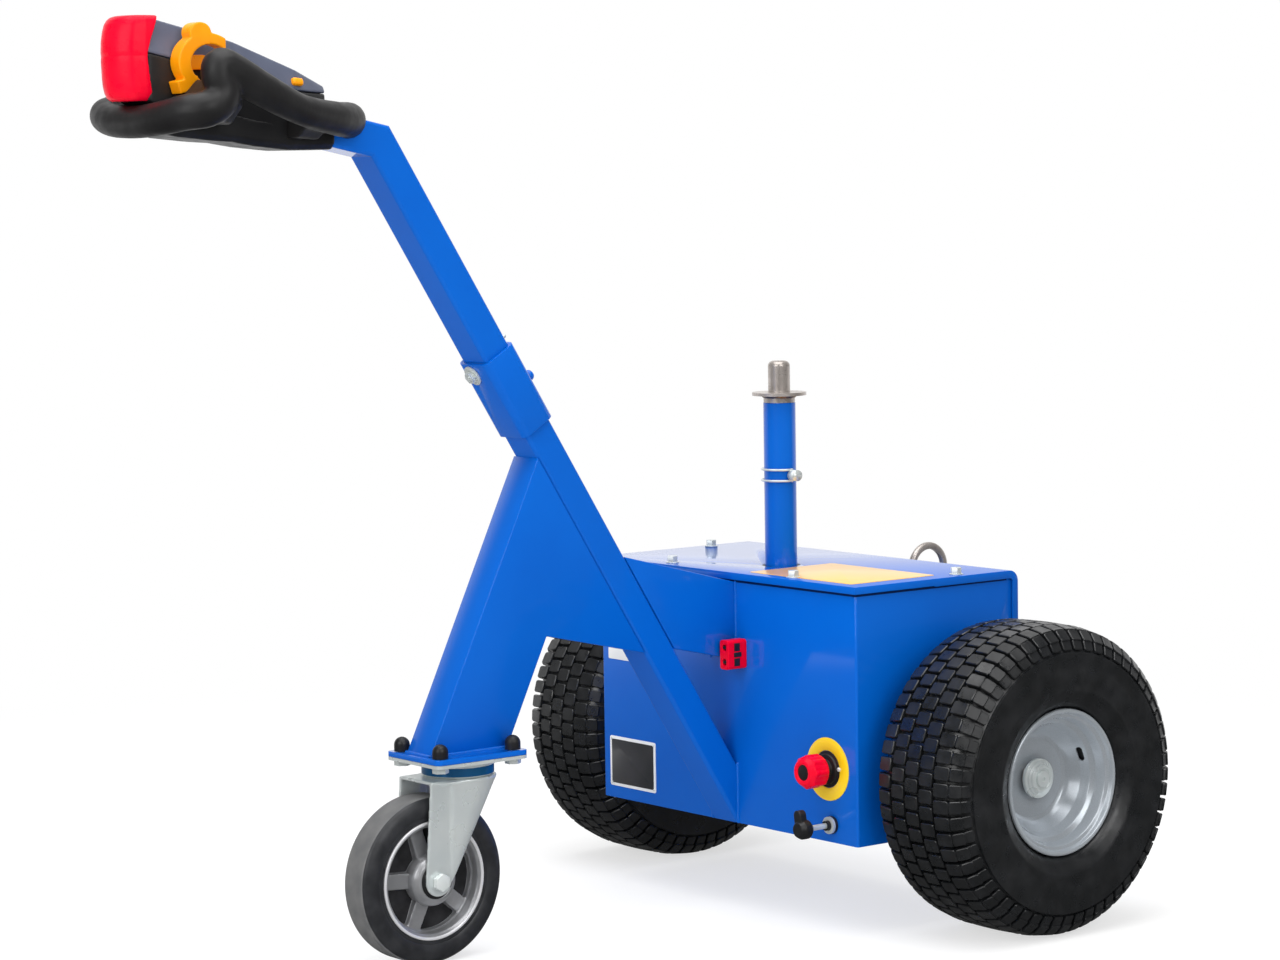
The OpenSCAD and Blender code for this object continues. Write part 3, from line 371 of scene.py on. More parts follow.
class Recipe:
    """A node material built up on one Principled shader, patterned in Object coordinates."""

    def __init__(self, name, colour, roughness, metallic=0.0, **sockets):
        self.material = bpy.data.materials.new(name)
        self.material.use_nodes = True
        self.tree = self.material.node_tree
        self.shader = self.tree.nodes["Principled BSDF"]
        self.place = self.tree.nodes.new("ShaderNodeTexCoord").outputs["Object"]
        self.colour = colour
        self.set("Base Color", (*colour, 1))
        self.set("Roughness", roughness)
        self.set("Metallic", metallic)
        for socket, value in sockets.items():
            self.set(socket.replace("_", " "), value)

    def set(self, socket, value):
        self.shader.inputs[socket].default_value = value

    def add(self, kind, **values):
        """A new node with values set on its sockets."""
        node = self.tree.nodes.new(kind)
        for socket, value in values.items():
            node.inputs[socket].default_value = value
        return node

    def noise(self, scale, detail=4.0, stretch=None):
        """Cloudy pattern, stretched along each axis where a stretch is given."""
        node = self.add("ShaderNodeTexNoise", Scale=scale, Detail=detail)
        place = self.place
        if stretch:
            mapping = self.add("ShaderNodeMapping", Scale=stretch)
            self.tree.links.new(place, mapping.inputs["Vector"])
            place = mapping.outputs["Vector"]
        self.tree.links.new(place, node.inputs["Vector"])
        return node.outputs["Fac"]

    def cells(self, scale):
        """Pattern of small cells."""
        node = self.add("ShaderNodeTexVoronoi", Scale=scale)
        self.tree.links.new(self.place, node.inputs["Vector"])
        return node.outputs["Distance"]

    def spread(self, value, low_end, high_end, start=0.35, stop=0.65):
        """A pattern's values from start to stop, spread from the low end to the high one."""
        node = self.add("ShaderNodeMapRange", **{"From Min": start, "From Max": stop,
                                                 "To Min": low_end, "To Max": high_end})
        self.tree.links.new(value, node.inputs["Value"])
        return node.outputs["Result"]

    def tint(self, value, other, start=0.35, stop=0.65):
        """Colour that drifts from the main one to another."""
        node = self.add("ShaderNodeMix")
        node.data_type = "RGBA"
        self.tree.links.new(self.spread(value, 0.0, 1.0, start, stop), node.inputs["Factor"])
        main, drift = (socket for socket in node.inputs if socket.type == "RGBA")
        main.default_value = (*self.colour, 1)
        drift.default_value = (*other, 1)
        blend = next(socket for socket in node.outputs if socket.type == "RGBA")
        self.tree.links.new(blend, self.shader.inputs["Base Color"])
        return self

    def polish(self, value, low_end, high_end):
        """Roughness that drifts over the surface."""
        self.tree.links.new(self.spread(value, low_end, high_end), self.shader.inputs["Roughness"])
        return self

    def relief(self, value, height, strength=1.0):
        """Fine relief of a height in millimetres."""
        node = self.add("ShaderNodeBump", Distance=height * MM, Strength=strength)
        self.tree.links.new(value, node.inputs["Height"])
        self.tree.links.new(node.outputs["Normal"], self.shader.inputs["Normal"])
        return self


def powder_coat():
    recipe = Recipe("blue_powder_coat", (0.0, 0.106, 0.53), 0.35, Specular_IOR_Level=0.1,
                    Coat_Weight=1.0, Coat_Roughness=0.06, Coat_IOR=1.32)
    recipe.tint(recipe.noise(9), (0.0, 0.114, 0.55))
    return recipe.relief(recipe.noise(420, 2), 0.012, 0.35).material


def tyre_rubber():
    recipe = Recipe("tyre_rubber", (0.006, 0.007, 0.008), 0.34, Specular_IOR_Level=0.75)
    recipe.tint(recipe.noise(38, 6), (0.014, 0.015, 0.017), 0.4, 0.75)
    recipe.polish(recipe.noise(60, 5), 0.25, 0.45)
    return recipe.relief(recipe.noise(700, 4), 0.06, 0.5).material


def castor_tread_rubber():
    recipe = Recipe("castor_tread", (0.115, 0.117, 0.12), 0.62)
    recipe.tint(recipe.noise(50, 6), (0.15, 0.15, 0.15))
    return recipe.relief(recipe.noise(800, 3), 0.03, 0.5).material


def castor_side_rubber():
    recipe = Recipe("castor_sidewall", (0.016, 0.017, 0.02), 0.42)
    recipe.tint(recipe.noise(60, 5), (0.028, 0.029, 0.033))
    return recipe.relief(recipe.noise(600, 3), 0.03, 0.4).material


def silver_paint():
    recipe = Recipe("silver_wheel_paint", (0.42, 0.46, 0.50), 0.27, 0.5, Coat_Weight=0.4,
                    Coat_Roughness=0.15)
    recipe.tint(recipe.cells(900), (0.50, 0.54, 0.58), 0.1, 0.6)
    return recipe.relief(recipe.noise(500, 2), 0.01, 0.4).material


def plated(name, colour, other, roughness, metallic, drift):
    """Smooth plating whose colour drifts slowly."""
    recipe = Recipe(name, colour, roughness, metallic)
    recipe.tint(recipe.noise(drift, 3), other)
    return recipe.relief(recipe.noise(300, 2), 0.001, 0.2)


def zinc_plate():
    recipe = plated("zinc_plate", (0.72, 0.76, 0.75), (0.64, 0.69, 0.69), 0.3, 0.45, 14)
    return recipe.polish(recipe.noise(30, 3), 0.26, 0.34).material


def bright_zinc():
    return plated("bright_zinc", (0.84, 0.88, 0.87), (0.76, 0.81, 0.80), 0.22, 0.35, 30).material


def blued_zinc():
    return plated("blued_zinc", (0.004, 0.10, 0.27), (0.003, 0.08, 0.20), 0.3, 0.3, 16).material


def bright_steel():
    recipe = Recipe("turned_steel", (0.58, 0.53, 0.50), 0.26, 0.6)
    recipe.tint(recipe.noise(40, 5), (0.40, 0.36, 0.33))
    recipe.polish(recipe.noise(60, 3, (1, 1, 4)), 0.27, 0.34)
    return recipe.relief(recipe.noise(260, 2, (0.4, 0.4, 4)), 0.001, 0.12).material


def heat_tint():
    recipe = Recipe("weld_heat_tint", (0.22, 0.14, 0.09), 0.42, 1.0)
    return recipe.tint(recipe.noise(220, 4), (0.40, 0.32, 0.26)).material


def cast(name, colour, other, roughness, metallic):
    """Cast alloy with a fine sandy skin."""
    recipe = Recipe(name, colour, roughness, metallic)
    recipe.tint(recipe.noise(45, 5), other)
    return recipe.relief(recipe.noise(420, 4), 0.03, 0.5).material


def castor_alloy():
    return cast("cast_alloy", (0.44, 0.445, 0.46), (0.34, 0.345, 0.36), 0.3, 0.6)


# Near-black alloy that paints the shade in the pockets of the castor wheel.
def painted_shade_alloy():
    return cast("painted_shade_alloy", (0.022, 0.022, 0.024), (0.045, 0.045, 0.05), 0.6, 0.5)


def machined_alloy():
    recipe = Recipe("machined_alloy", (0.80, 0.80, 0.82), 0.35, 0.4)
    return recipe.polish(recipe.noise(200, 4), 0.3, 0.4).material


def moulded(name, colour, other, roughness, grain=500, height=0.02, shine=0.5):
    """Moulded plastic or rubber with a fine grain."""
    recipe = Recipe(name, colour, roughness, Specular_IOR_Level=shine)
    recipe.tint(recipe.noise(24, 4), other)
    recipe.polish(recipe.noise(70, 4), roughness - 0.05, roughness + 0.07)
    return recipe.relief(recipe.cells(grain), height, 0.5).material


def battery_case():
    return moulded("battery_case", (0.03, 0.03, 0.035), (0.04, 0.04, 0.045), 0.55)


def drive_casting():
    return moulded("drive_casting", (0.14, 0.14, 0.145), (0.2, 0.2, 0.2), 0.6,
                   grain=300, height=0.1)


def printed_film(name, colour, other):
    """Smooth glossy film."""
    recipe = Recipe(name, colour, 0.3, Coat_Weight=0.5, Coat_Roughness=0.1)
    recipe.tint(recipe.noise(14, 3), other)
    return recipe.relief(recipe.noise(500, 2), 0.006, 0.4).material


BLUE = powder_coat()
TYRE = tyre_rubber()
CASTOR_TREAD = castor_tread_rubber()
CASTOR_SIDE = castor_side_rubber()
SILVER = silver_paint()
ZINC = zinc_plate()
BRIGHT_ZINC = bright_zinc()
BLUED = blued_zinc()
STEEL = bright_steel()
HEAT = heat_tint()
ALLOY = castor_alloy()
PAINTED_SHADE_ALLOY = painted_shade_alloy()
MACHINED = machined_alloy()
BLACK = moulded("black_plastic", (0.010, 0.010, 0.011), (0.015, 0.015, 0.016), 0.4, shine=0.4)
GRIP = moulded("grip_rubber", (0.010, 0.0096, 0.010), (0.015, 0.0145, 0.015), 0.46,
               grain=900, height=0.012, shine=0.35)
GREY = moulded("grey_plastic", (0.088, 0.10, 0.15), (0.10, 0.115, 0.17), 0.4)
RED = moulded("red_plastic", (0.80, 0.0, 0.022), (0.85, 0.001, 0.026), 0.3,
              grain=600, height=0.008, shine=0.12)
ORANGE = moulded("orange_plastic", (0.98, 0.31, 0.001), (1.0, 0.36, 0.002), 0.32,
                 grain=600, height=0.008, shine=0.25)
YELLOW = printed_film("yellow_film", (0.93, 0.62, 0.01), (0.95, 0.66, 0.02))
PANEL = printed_film("lid_panel_film", (0.94, 0.47, 0.03), (0.96, 0.51, 0.045))
WHITE = printed_film("white_film", (0.78, 0.80, 0.82), (0.82, 0.83, 0.84))
# Dark blue that paints the shadow under the lid's lip.
LIP_SHADOW_BLUE = moulded("painted_lip_shadow", (0.0, 0.012, 0.07), (0.0, 0.015, 0.08), 0.6, shine=0.1)
DARK_FILM = printed_film("dark_film", (0.025, 0.027, 0.03), (0.04, 0.04, 0.045))

# The finishes of each slot. The first one is for the CAD nodes that stay.
FINISHES = {
    "blue_paint": (BLUE, LIP_SHADOW_BLUE), "silver_paint": (SILVER,),
    "battery_case": (battery_case(),), "drive_casting": (drive_casting(),),
    "zinc": (ZINC, BRIGHT_ZINC, BLUED), "bare_steel": (STEEL, HEAT),
    "castor_alloy": (ALLOY, PAINTED_SHADE_ALLOY, MACHINED), "castor_rubber": (CASTOR_TREAD,),
    "tyre_rubber": (TYRE, CASTOR_SIDE), "grip_rubber": (GRIP,),
    "black_plastic": (BLACK, DARK_FILM), "grey_plastic": (GREY, WHITE),
    "red_plastic": (RED,), "orange_plastic": (ORANGE,), "yellow_plastic": (YELLOW, PANEL),
}


def finish_carried_nodes():
    """Gives every CAD node the finish of its slot."""
    for part in frame["record"]["subparts"]:
        mesh = frame["nodes"][part["node"]].data
        mesh.materials.clear()
        mesh.materials.append(FINISHES[part["material_slot"]][0])


# ---- Drive wheels ----

TREAD_COUNT = 58
BLOCK_CORNER, BLOCK_EDGE = 2.6, 0.9
# Each row: size of its blocks, place across, outer radius, tilt in degrees, shift in blocks.
MIDDLE_ROW = ((16.5, 21.5, 9), 0, 189.9, 0, 0)
SIDE_ROWS = (((16.5, 21.5, 9), 24.2, 189.4, 2.5, 0.5), ((16.5, 22, 10), 48.2, 187.6, 10, 0),
             ((15.5, 16, 8), 63.4, 180.6, 46, 0), ((14.5, 14, 5), 70.2, 169.5, 64, 0))
RIM_SHEET = 2.4
# The valve slot: its turn round the rim in degrees, radius, depth and lean in degrees.
VALVE_TURN, VALVE_R, VALVE_DEPTH, VALVE_LEAN = 21.5, 66, 34, 65


def on_wheel(side, reach):
    """Matrix of a place on a drive wheel's axis, +Z outwards."""
    return aimed(Vector((side * reach, AXLE_Y, AXLE_Z)), (side, 0, 0))


def tread_row(bm, size, across, radius, tilt, shift):
    """One row of tread blocks round a tyre, made along +Z."""
    part = bmesh.new()
    length, wide, deep = (value * MM for value in size)
    bmesh.ops.create_cube(part, size=1, matrix=Matrix.Diagonal((deep, length, wide, 1)))
    upright = [e for e in part.edges if abs(e.verts[0].co.x - e.verts[1].co.x) > deep / 2]
    rounded(part, upright, BLOCK_CORNER)
    top = [e for e in part.edges if min(v.co.x for v in e.verts) > deep * 0.4]
    rounded(part, top, BLOCK_EDGE, 1)
    seat = Matrix.Translation((radius * MM - deep / 2, 0, across * MM))
    lean = Matrix.Rotation(math.radians(-tilt), 4, "Y")
    start = Matrix.Rotation(math.tau * shift / TREAD_COUNT, 4, "Z")
    bmesh.ops.transform(part, matrix=start @ seat @ lean, verts=part.verts)
    bmesh.ops.spin(part, geom=part.verts[:] + part.edges[:] + part.faces[:],
                   cent=(0, 0, 0), axis=(0, 0, 1), use_duplicate=True, steps=TREAD_COUNT - 1,
                   angle=math.tau * (TREAD_COUNT - 1) / TREAD_COUNT)
    join(bm, part)


def drive_tyre(side, name):
    """Turf tyre: a carcass with raised rings, five rows of blocks and shoulder lugs."""
    half = [(184, 0), (183.6, 22), (182, 44), (178, 56), (171.5, 64), (164, 69.5), (159, 73.8),
            (158.6, 76.4), (155.4, 76.6), (152.5, 75.9), (140, 77), (124, 76.2), (116, 75),
            (113.8, 75.8), (110.6, 75.2), (108, 73.4), (100, 70.2), (93, 64.5), (90.6, 59),
            (86, 57), (81.6, 56)]
    profile = [(radius, -along) for radius, along in reversed(half)] + half[1:]
    bm = bmesh.new()
    turned(bm, profile, None, steps=96, closed=True)
    for row_side in (1, -1):
        for size, across, radius, tilt, shift in SIDE_ROWS:
            tread_row(bm, size, row_side * across, radius, row_side * tilt, shift)
    tread_row(bm, *MIDDLE_ROW)
    bmesh.ops.transform(bm, matrix=on_wheel(side, WHEEL_X), verts=bm.verts)
    finished("tyre_with_tread_" + name, bm, TYRE, "wheel_" + name, ("tyre_" + name,))


def valve_slot(side):
    """Matrix of the valve slot in the sloped wall of a rim, +Z out of the wall."""
    return (on_wheel(side, RIM_X)
            @ Matrix.Rotation(math.radians(90 + side * VALVE_TURN), 4, "Z")
            @ Matrix.Translation((VALVE_R * MM, 0, -VALVE_DEPTH * MM))
            @ Matrix.Rotation(math.radians(-VALVE_LEAN), 4, "Y"))


def drive_rim(side, name):
    """Pressed steel rim: dished disc, stepped bowl and drop-centre barrel, valve slot cut."""
    face = [(13, 54.5), (49, 54.5), (53.4, 52.4), (57, 48), (64.6, 37), (67.4, 31), (69.6, 25.4),
            (74.8, 21.6), (76.8, 14.4), (78.6, 8.4), (82.8, 6.6), (84.4, 1.6), (87.2, 0.4),
            (89.2, 1.4), (89.8, 4.6)]
    barrel = [(74.6, 21), (76.4, 27), (78, 30), (78, 102), (80.6, 109), (81, 121),
              (86, 128), (89.4, 130.8), (89.8, 127)]
    face, barrel = ([(radius, -depth) for radius, depth in line] for line in (face, barrel))
    placed = on_wheel(side, RIM_X)
    slot_seat = valve_slot(side) @ Matrix.Translation((0, 0, -8 * MM))
    bm = bmesh.new()
    turned(bm, sheet(face, RIM_SHEET), placed, steps=96, rounding=0.8, closed=True)
    bm = cut(bm, lambda tool: slab(tool, (8, 19, 16), 3.9, slot_seat, 0.1))
    turned(bm, sheet(barrel, -RIM_SHEET), placed, steps=96, closed=True)
    finished("wheel_rim_" + name, bm, SILVER, "wheel_" + name, ("rim_" + name,), crease=30)


def valve_slot_shade(side, name):
    """Black plate behind the valve slot: painted shade of the hollow inside the wheel, seen
    through the slot.
    """
    bm = bmesh.new()
    slab(bm, (12, 24, 1.2), 5.8, valve_slot(side) @ Matrix.Translation((0, 0, -6.4 * MM)))
    finished("valve_slot_shade_" + name, bm, BLACK, "wheel_" + name)


def hub_washer(side, name):
    """Stepped zinc washer and domed centre of a drive wheel."""
    placed = on_wheel(side, HUB_X)
    bm = bmesh.new()
    turned(bm, [(8, -6), (24.4, -6), (24.4, -2.6), (23.4, -1.4), (20.8, -1), (19.8, 0.8),
                (17.6, 1.4), (16.6, 3.4), (13.6, 4.2), (12.6, 2.6), (8, 2.6)],
           placed, rounding=0.4, closed=True)
    turned(bm, [(0, 2), (0, 3.6), (2.4, 3.6), (3.2, 5.6), (8, 6.2), (9.8, 5.2), (10, 2)],
           placed, steps=32)
    finished("hub_washer_" + name, bm, ZINC, "wheel_" + name)


# ---- Castor ----

CASTOR_SIDES = [aimed(CASTOR_AXLE, (side, 0, 0)) for side, _ in SIDES]


def castor_tread():
    """Pale flat tread of the solid tyre."""
    edge = CASTOR_HALF - 7
    half = [(CASTOR_R - 12, edge), (CASTOR_R - 1.2, edge), (CASTOR_R - 0.3, edge - 0.8),
            (CASTOR_R, edge - 2.4)]
    profile = half + [(radius, -along) for radius, along in reversed(half)]
    turned_piece("castor_tread", profile, CASTOR_SIDES[:1], CASTOR_TREAD, "castor_wheel",
                 ("castor_tyre",), steps=120, closed=True)


def castor_sidewalls():
    """Darker tapering sides of the solid tyre, each given by radius and depth."""
    wall = [(71.8, 8), (71.8, 2.6), (74.5, 1.6), (76.4, 2.2), (79, 0.6), (86, 0.2), (92, 1.6),
            (96.4, 4), (98.4, 6.2), (98.6, 7.2), (92, 9)]
    bm = bmesh.new()
    for side, _ in SIDES:
        turned(bm, [(radius, side * (CASTOR_HALF - depth)) for radius, depth in wall],
               CASTOR_SIDES[0], steps=120, closed=True)
    finished("castor_sidewalls", bm, CASTOR_SIDE, "castor_wheel")


def castor_bright_rings():
    """Machined edge rings of the alloy rim."""
    profile = [(67.2, 19), (67.8, 23.4), (69, 24.4), (70.6, 24.4), (71.4, 23.6), (71.4, 19)]
    turned_piece("castor_bright_rings", profile, CASTOR_SIDES, MACHINED, "castor_wheel",
                 steps=96, closed=True)


def castor_seals_and_gap_shade():
    """Black seals in the hub, round the axle, also standing in as painted shade of the gap between
    the fork and the hub.
    """
    profile = [(7, HUB_HALF - 3), (21.4, HUB_HALF - 3), (21.4, HUB_HALF - 1),
               (20.4, HUB_HALF - 0.3), (7, HUB_HALF - 0.2)]
    turned_piece("castor_seals_and_gap_shade", profile, CASTOR_SIDES, BLACK, "castor_wheel",
                 steps=48, closed=True)


def castor_hub_ring():
    """Rounded collars of the hub, round the seals."""
    profile = [(21.2, 10), (21.2, HUB_HALF - 1.6), (22.6, HUB_HALF - 0.8),
               (25.4, HUB_HALF - 1.6), (29.4, HUB_HALF - 5.4), (31, HUB_HALF - 9), (31.4, 10)]
    turned_piece("castor_hub_ring", profile, CASTOR_SIDES, ALLOY, "castor_wheel",
                 steps=72, rounding=0.5, closed=True)


def castor_pocket_shade():
    """Near-black rings laid on the floors of the pockets between the spokes: painted shade of the
    pockets.
    """
    profile = [(27, 3.1), (62, 3.1), (62, 4.0), (27, 4.0)]
    turned_piece("castor_pocket_shade", profile, CASTOR_SIDES, PAINTED_SHADE_ALLOY, "castor_wheel",
                 closed=True)


def swivel_band():
    """Blued wall of the castor's swivel head, under the plate."""
    plate = middle("castor_plate")
    crown = high("castor_fork").z / MM
    profile = [(42, crown + 2.4), (43.4, crown + 2.4), (43.5, crown + 3), (43.5, crown + 12.6),
               (43.4, crown + 13.2), (42, crown + 13.2)]
    turned_piece("swivel_head_band", profile, [Matrix.Translation((plate.x, plate.y, 0))],
                 BLUED, "chassis", steps=96, closed=True)


# ---- Body trim ----

PLATE_X, PLATE_Z, PLATE_THICK = -190, 160, 0.9
STOP_SEAT = Vector((middle("stop_switch_base").x, FRONT_Y, middle("stop_switch_base").z))


def lid_bolts():
    """Hexagon bolts with washers that hold the lid down."""
    washer = 1.4 * MM
    bm = bmesh.new()
    for x, y in ((240, -8), (-240, -8), (120, -170), (-120, -170)):
        seat = on_lid(x, y)
        round_head(bm, 8.5, 1.6, aimed(seat), dome=0.2)
        hex_head(bm, 12, 7.5, aimed(seat + UP * washer))
    finished("lid_bolts", bm, ZINC, "chassis")


def lid_panel():
    """Blank yellow panel on the lid beside the post."""
    bm = bmesh.new()
    slab(bm, (194, 138, 0.5), 4, aimed(on_lid(132, -102)), 0.15)
    finished("lid_panel", bm, PANEL, "chassis")


def under_lip_shadow():
    """Dark blue strip under the lip of the lid along the front and both sides: painted shadow of
    the gap under the lip.
    """
    lip = min(v.co.z for v in frame["nodes"]["lid"].data.vertices
              if v.co.y < FRONT_Y - 1 * MM) / MM
    thick, tall, drop = 0.8, 3.6, 1.4
    shadow_z = (lip - drop) * MM
    wide = high("housing").x / MM
    long = (high("housing").y - AXLE_Y) / MM - (FRONT_Y - AXLE_Y) / MM - 14
    bm = bmesh.new()
    block(bm, (2 * wide + 1, thick, tall), Matrix.Translation((0, FRONT_Y, shadow_z)))
    for side, _ in SIDES:
        seat = (side * wide * MM, FRONT_Y + long / 2 * MM, shadow_z)
        block(bm, (thick, long, tall), Matrix.Translation(seat))
    finished("lid_lip_shadow", bm, LIP_SHADOW_BLUE, "chassis")


def post_hole_shade():
    """Black ring sunk in the hole for the post: painted shade of the gap between the post and the
    lid.
    """
    inner = POST_R + 0.2
    profile = [(inner, -3.2), (24.3, -3.2), (24.3, -0.4), (inner, -0.4)]
    turned_piece("post_hole_shade", profile, [aimed(Vector((POST.x, POST.y, LID_TOP)))],
                 BLACK, "chassis", closed=True)


def rating_plate():
    """Rating plate on the front of the body."""
    bm = bmesh.new()
    slab(bm, (96, 66, PLATE_THICK), 3, aimed(on_front(PLATE_X, PLATE_Z), FRONT))
    finished("rating_plate", bm, WHITE, "chassis")


def rating_plate_field():
    """Blank dark field of the rating plate."""
    bm = bmesh.new()
    slab(bm, (88, 58, 0.4), 2, aimed(on_front(PLATE_X, PLATE_Z, PLATE_THICK), FRONT), 0.1)
    finished("rating_plate_field", bm, DARK_FILM, "chassis")


def rating_plate_rivets():
    """A rivet in each corner of the rating plate."""
    bm = bmesh.new()
    for x in (PLATE_X - 44, PLATE_X + 44):
        for z in (PLATE_Z - 29, PLATE_Z + 29):
            round_head(bm, 1.6, 0.8, aimed(on_front(x, z, PLATE_THICK), FRONT))
    finished("rating_plate_rivets", bm, ZINC, "chassis")


def blank_sticker():
    """Blank white sticker at the upper corner of the body."""
    bm = bmesh.new()
    slab(bm, (46, 30, 0.4), 2, aimed(on_front(-216, 310), FRONT), 0.1)
    finished("blank_sticker", bm, WHITE, "chassis")


def stop_ring():
    """Blank yellow ring behind the stop switch."""
    profile = [(23, 0.1), (23.1, 1.0), (23.4, 1.2), (38.4, 1.2), (38.8, 1.0), (38.9, 0.1)]
    turned_piece("stop_ring", profile, [aimed(STOP_SEAT, FRONT)], YELLOW, "chassis",
                 ("stop_switch_base",), steps=72, closed=True)


def stop_barrel():
    """Dark barrel of the stop switch."""
    profile = [(0, 0.2), (22.6, 0.2), (22.6, 1.4), (19, 1.8), (18.4, 4), (13, 4.6),
               (12.6, 14), (0, 14)]
    turned_piece("stop_barrel", profile, [aimed(STOP_SEAT, FRONT)], BLACK, "chassis",
                 steps=48, rounding=0.6)


def stop_knob():
    """Red knob of the stop switch."""
    bm = moulding(merged_copy("stop_switch_knob"), 0.8, 5)
    bmesh.ops.translate(bm, verts=bm.verts, vec=(0, KNOB_IN, 0))
    finished("stop_knob", bm, RED, "chassis", ("stop_switch_knob",), crease=60)


def stop_knob_face():
    """Dark face sunk in the red knob."""
    knob, sunk = middle("stop_switch_knob"), 2 * MM
    face = Vector((knob.x, low("stop_switch_knob").y + sunk + KNOB_IN, knob.z))
    profile = [(0, 1.0), (4, 1.0), (8.6, 0.7), (9.9, 0.2), (9.9, -0.4), (0, -0.4)]
    turned_piece("stop_knob_face", profile, [aimed(face, FRONT)], BLACK, "chassis", steps=40)


def stop_screw():
    """Screw at the edge of the stop switch's barrel."""
    bm = bmesh.new()
    round_head(bm, 2.9, 2.6, aimed(STOP_SEAT + Vector((21.4 * MM, 0, 2 * MM)), FRONT))
    finished("stop_screw", bm, ZINC, "chassis")


def release_bush():
    """Black bush that the drive release rod slides in."""
    rod = middle("release_rod")
    profile = [(4.6, -0.5), (11, -0.5), (11, 3.4), (9.6, 4.8), (6.4, 5), (6, 12), (4.6, 12)]
    turned_piece("release_bush", profile, [aimed(Vector((rod.x, FRONT_Y, rod.z)), FRONT)],
                 BLACK, "chassis", steps=48, closed=True)


def connector_body():
    """Red housing of the battery connector."""
    softened("connector_body", "charge_socket", 0.8, 4, RED, "chassis")


def connector_contacts():
    """Dark contacts in the battery connector, the latch at its side, and black patches on that
    side that paint its shade.
    """
    spot, face_y = middle("charge_socket"), low("charge_socket").y
    side_x = high("charge_socket").x
    bm = bmesh.new()
    for end in (-1, 1):
        contact = (spot.x, face_y + 4 * MM, spot.z + end * 9.2 * MM)
        block(bm, (5.6, 7, 3.6), Matrix.Translation(contact), 0.4)
        # Black patches on the side of the red housing: painted shade of that side.
        side_shade = (side_x - 0.1 * MM, face_y + 14 * MM, spot.z + end * 9.5 * MM)
        block(bm, (1.2, 9, 10), Matrix.Translation(side_shade), 0.4)
    latch = (side_x, face_y + 15 * MM, spot.z)
    block(bm, (1.4, 12, 6), Matrix.Translation(latch), 0.5)
    finished("connector_contacts", bm, BLACK, "chassis")


def weld_seams():
    """Painted weld beads where the arm and the tiller meet the body and the foot plate."""
    bm = bmesh.new()
    foot_z = high("foot_plate").z
    foot_y = (low("arm_neck").y, low("arm_neck").y + 112 * MM)
    tube_z = (BODY_CLEAR + 2 * MM, BODY_CLEAR + TUBE_DEPTH / math.sin(TILLER_LEAN))
    neck_z = (LID_TOP - 110 * MM, LID_TOP - 12 * MM)
    for side, _ in SIDES:
        x = side * ARM_HALF
        weld(bm, Vector((x, foot_y[0], foot_z)), Vector((x, foot_y[1], foot_z)))
        for (start, end), width in ((tube_z, 2.4), (neck_z, 2.0)):
            weld(bm, Vector((x, FRONT_Y, start)), Vector((x, FRONT_Y, end)), width)
    for y in foot_y:
        weld(bm, Vector((-ARM_HALF, y, foot_z)), Vector((ARM_HALF, y, foot_z)))
    finished("weld_seams", bm, BLUE, "chassis", crease=80)


# ---- Tiller and hitch post ----

OFF_SLEEVE = Matrix.Rotation(math.radians(-90), 4, "X")


def sleeve_cap():
    """Painted cap behind the sleeve."""
    bm = bmesh.new()
    round_head(bm, 7, 8, on_tiller(16, 24.6, 623) @ OFF_SLEEVE)
    finished("sleeve_cap", bm, BLUE, "chassis")


def sleeve_stud():
    """Bright stud behind the sleeve, above its cap."""
    profile = [(0, 0), (2.6, 0), (2.6, 6), (1.8, 7), (0, 7)]
    turned_piece("sleeve_stud", profile, [on_tiller(14, 19.8, 682) @ OFF_SLEEVE],
                 ZINC, "chassis", steps=16)


def post():
    """Painted post that stands through the lid."""
    foot, top, edge = low("hitch_post").z / MM, high("hitch_post").z / MM, 0.6
    profile = [(0, foot), (POST_R, foot), (POST_R, top - edge), (POST_R - edge, top), (0, top)]
    turned_piece("post_painted", profile, [Matrix.Translation((POST.x, POST.y, 0))],
                 BLUE, "chassis", ("hitch_post",))


def lock_pin():
    """Lock pin of the post with its wire bail, a little wider to match the post."""
    axis = Vector((POST.x, POST.y, 0))
    wider = Matrix.Diagonal((1.15, 1.15, 1, 1))
    bm = merged_copy("lock_pin")
    bmesh.ops.transform(bm, matrix=Matrix.Translation(axis) @ wider @ Matrix.Translation(-axis),
                        verts=bm.verts)
    finished("lock_pin_bright", bm, ZINC, "chassis", ("lock_pin",))


def post_weld():
    """Heat-tinted weld ring under the hitch flange."""
    flange_low = high("hitch_pin").z - 44 * MM
    profile = [(17.4, -3.6), (20.6, -3.2), (22.2, -1.6), (22.6, 0.0), (17.4, 0.0)]
    turned_piece("post_weld", profile, [aimed(Vector((POST.x, POST.y, flange_low)))],
                 HEAT, "chassis", steps=48, rounding=0.6)


# ---- Handle ----

# Webs between the loop and the console: ahead, top x, top height, low x, low height.
CHEEK = ((290, 76, 44, 54, 32), (272, 98, 58, 78, 31), (250, 113, 80, 104, 33),
         (230, 108, 72, 90, 31), (210, 90, 62, 60, 31))
HEEL = ((122, 79, 43, 55, 16), (84, 62, 37, 42, 14))
WEB_INNER = 22
# The red button: nose and back ahead of the rear end, half width, half height, nose radius.
BUTTON_NOSE, BUTTON_BACK, BUTTON_HALF, BUTTON_RISE, NOSE_ARC = 333.5, 299.5, 35.0, 46, 37.0


def web_section(side, ahead, top_x, top_up, low_x, low_up):
    """One ring of a web, square to the handle."""
    section = [(WEB_INNER, top_up + 2), (top_x - 8, top_up), (top_x - 5, top_up - 13),
               (low_x, low_up), (WEB_INNER, low_up)]
    return [on_handle(side * x, ahead, up) for x, up in section]


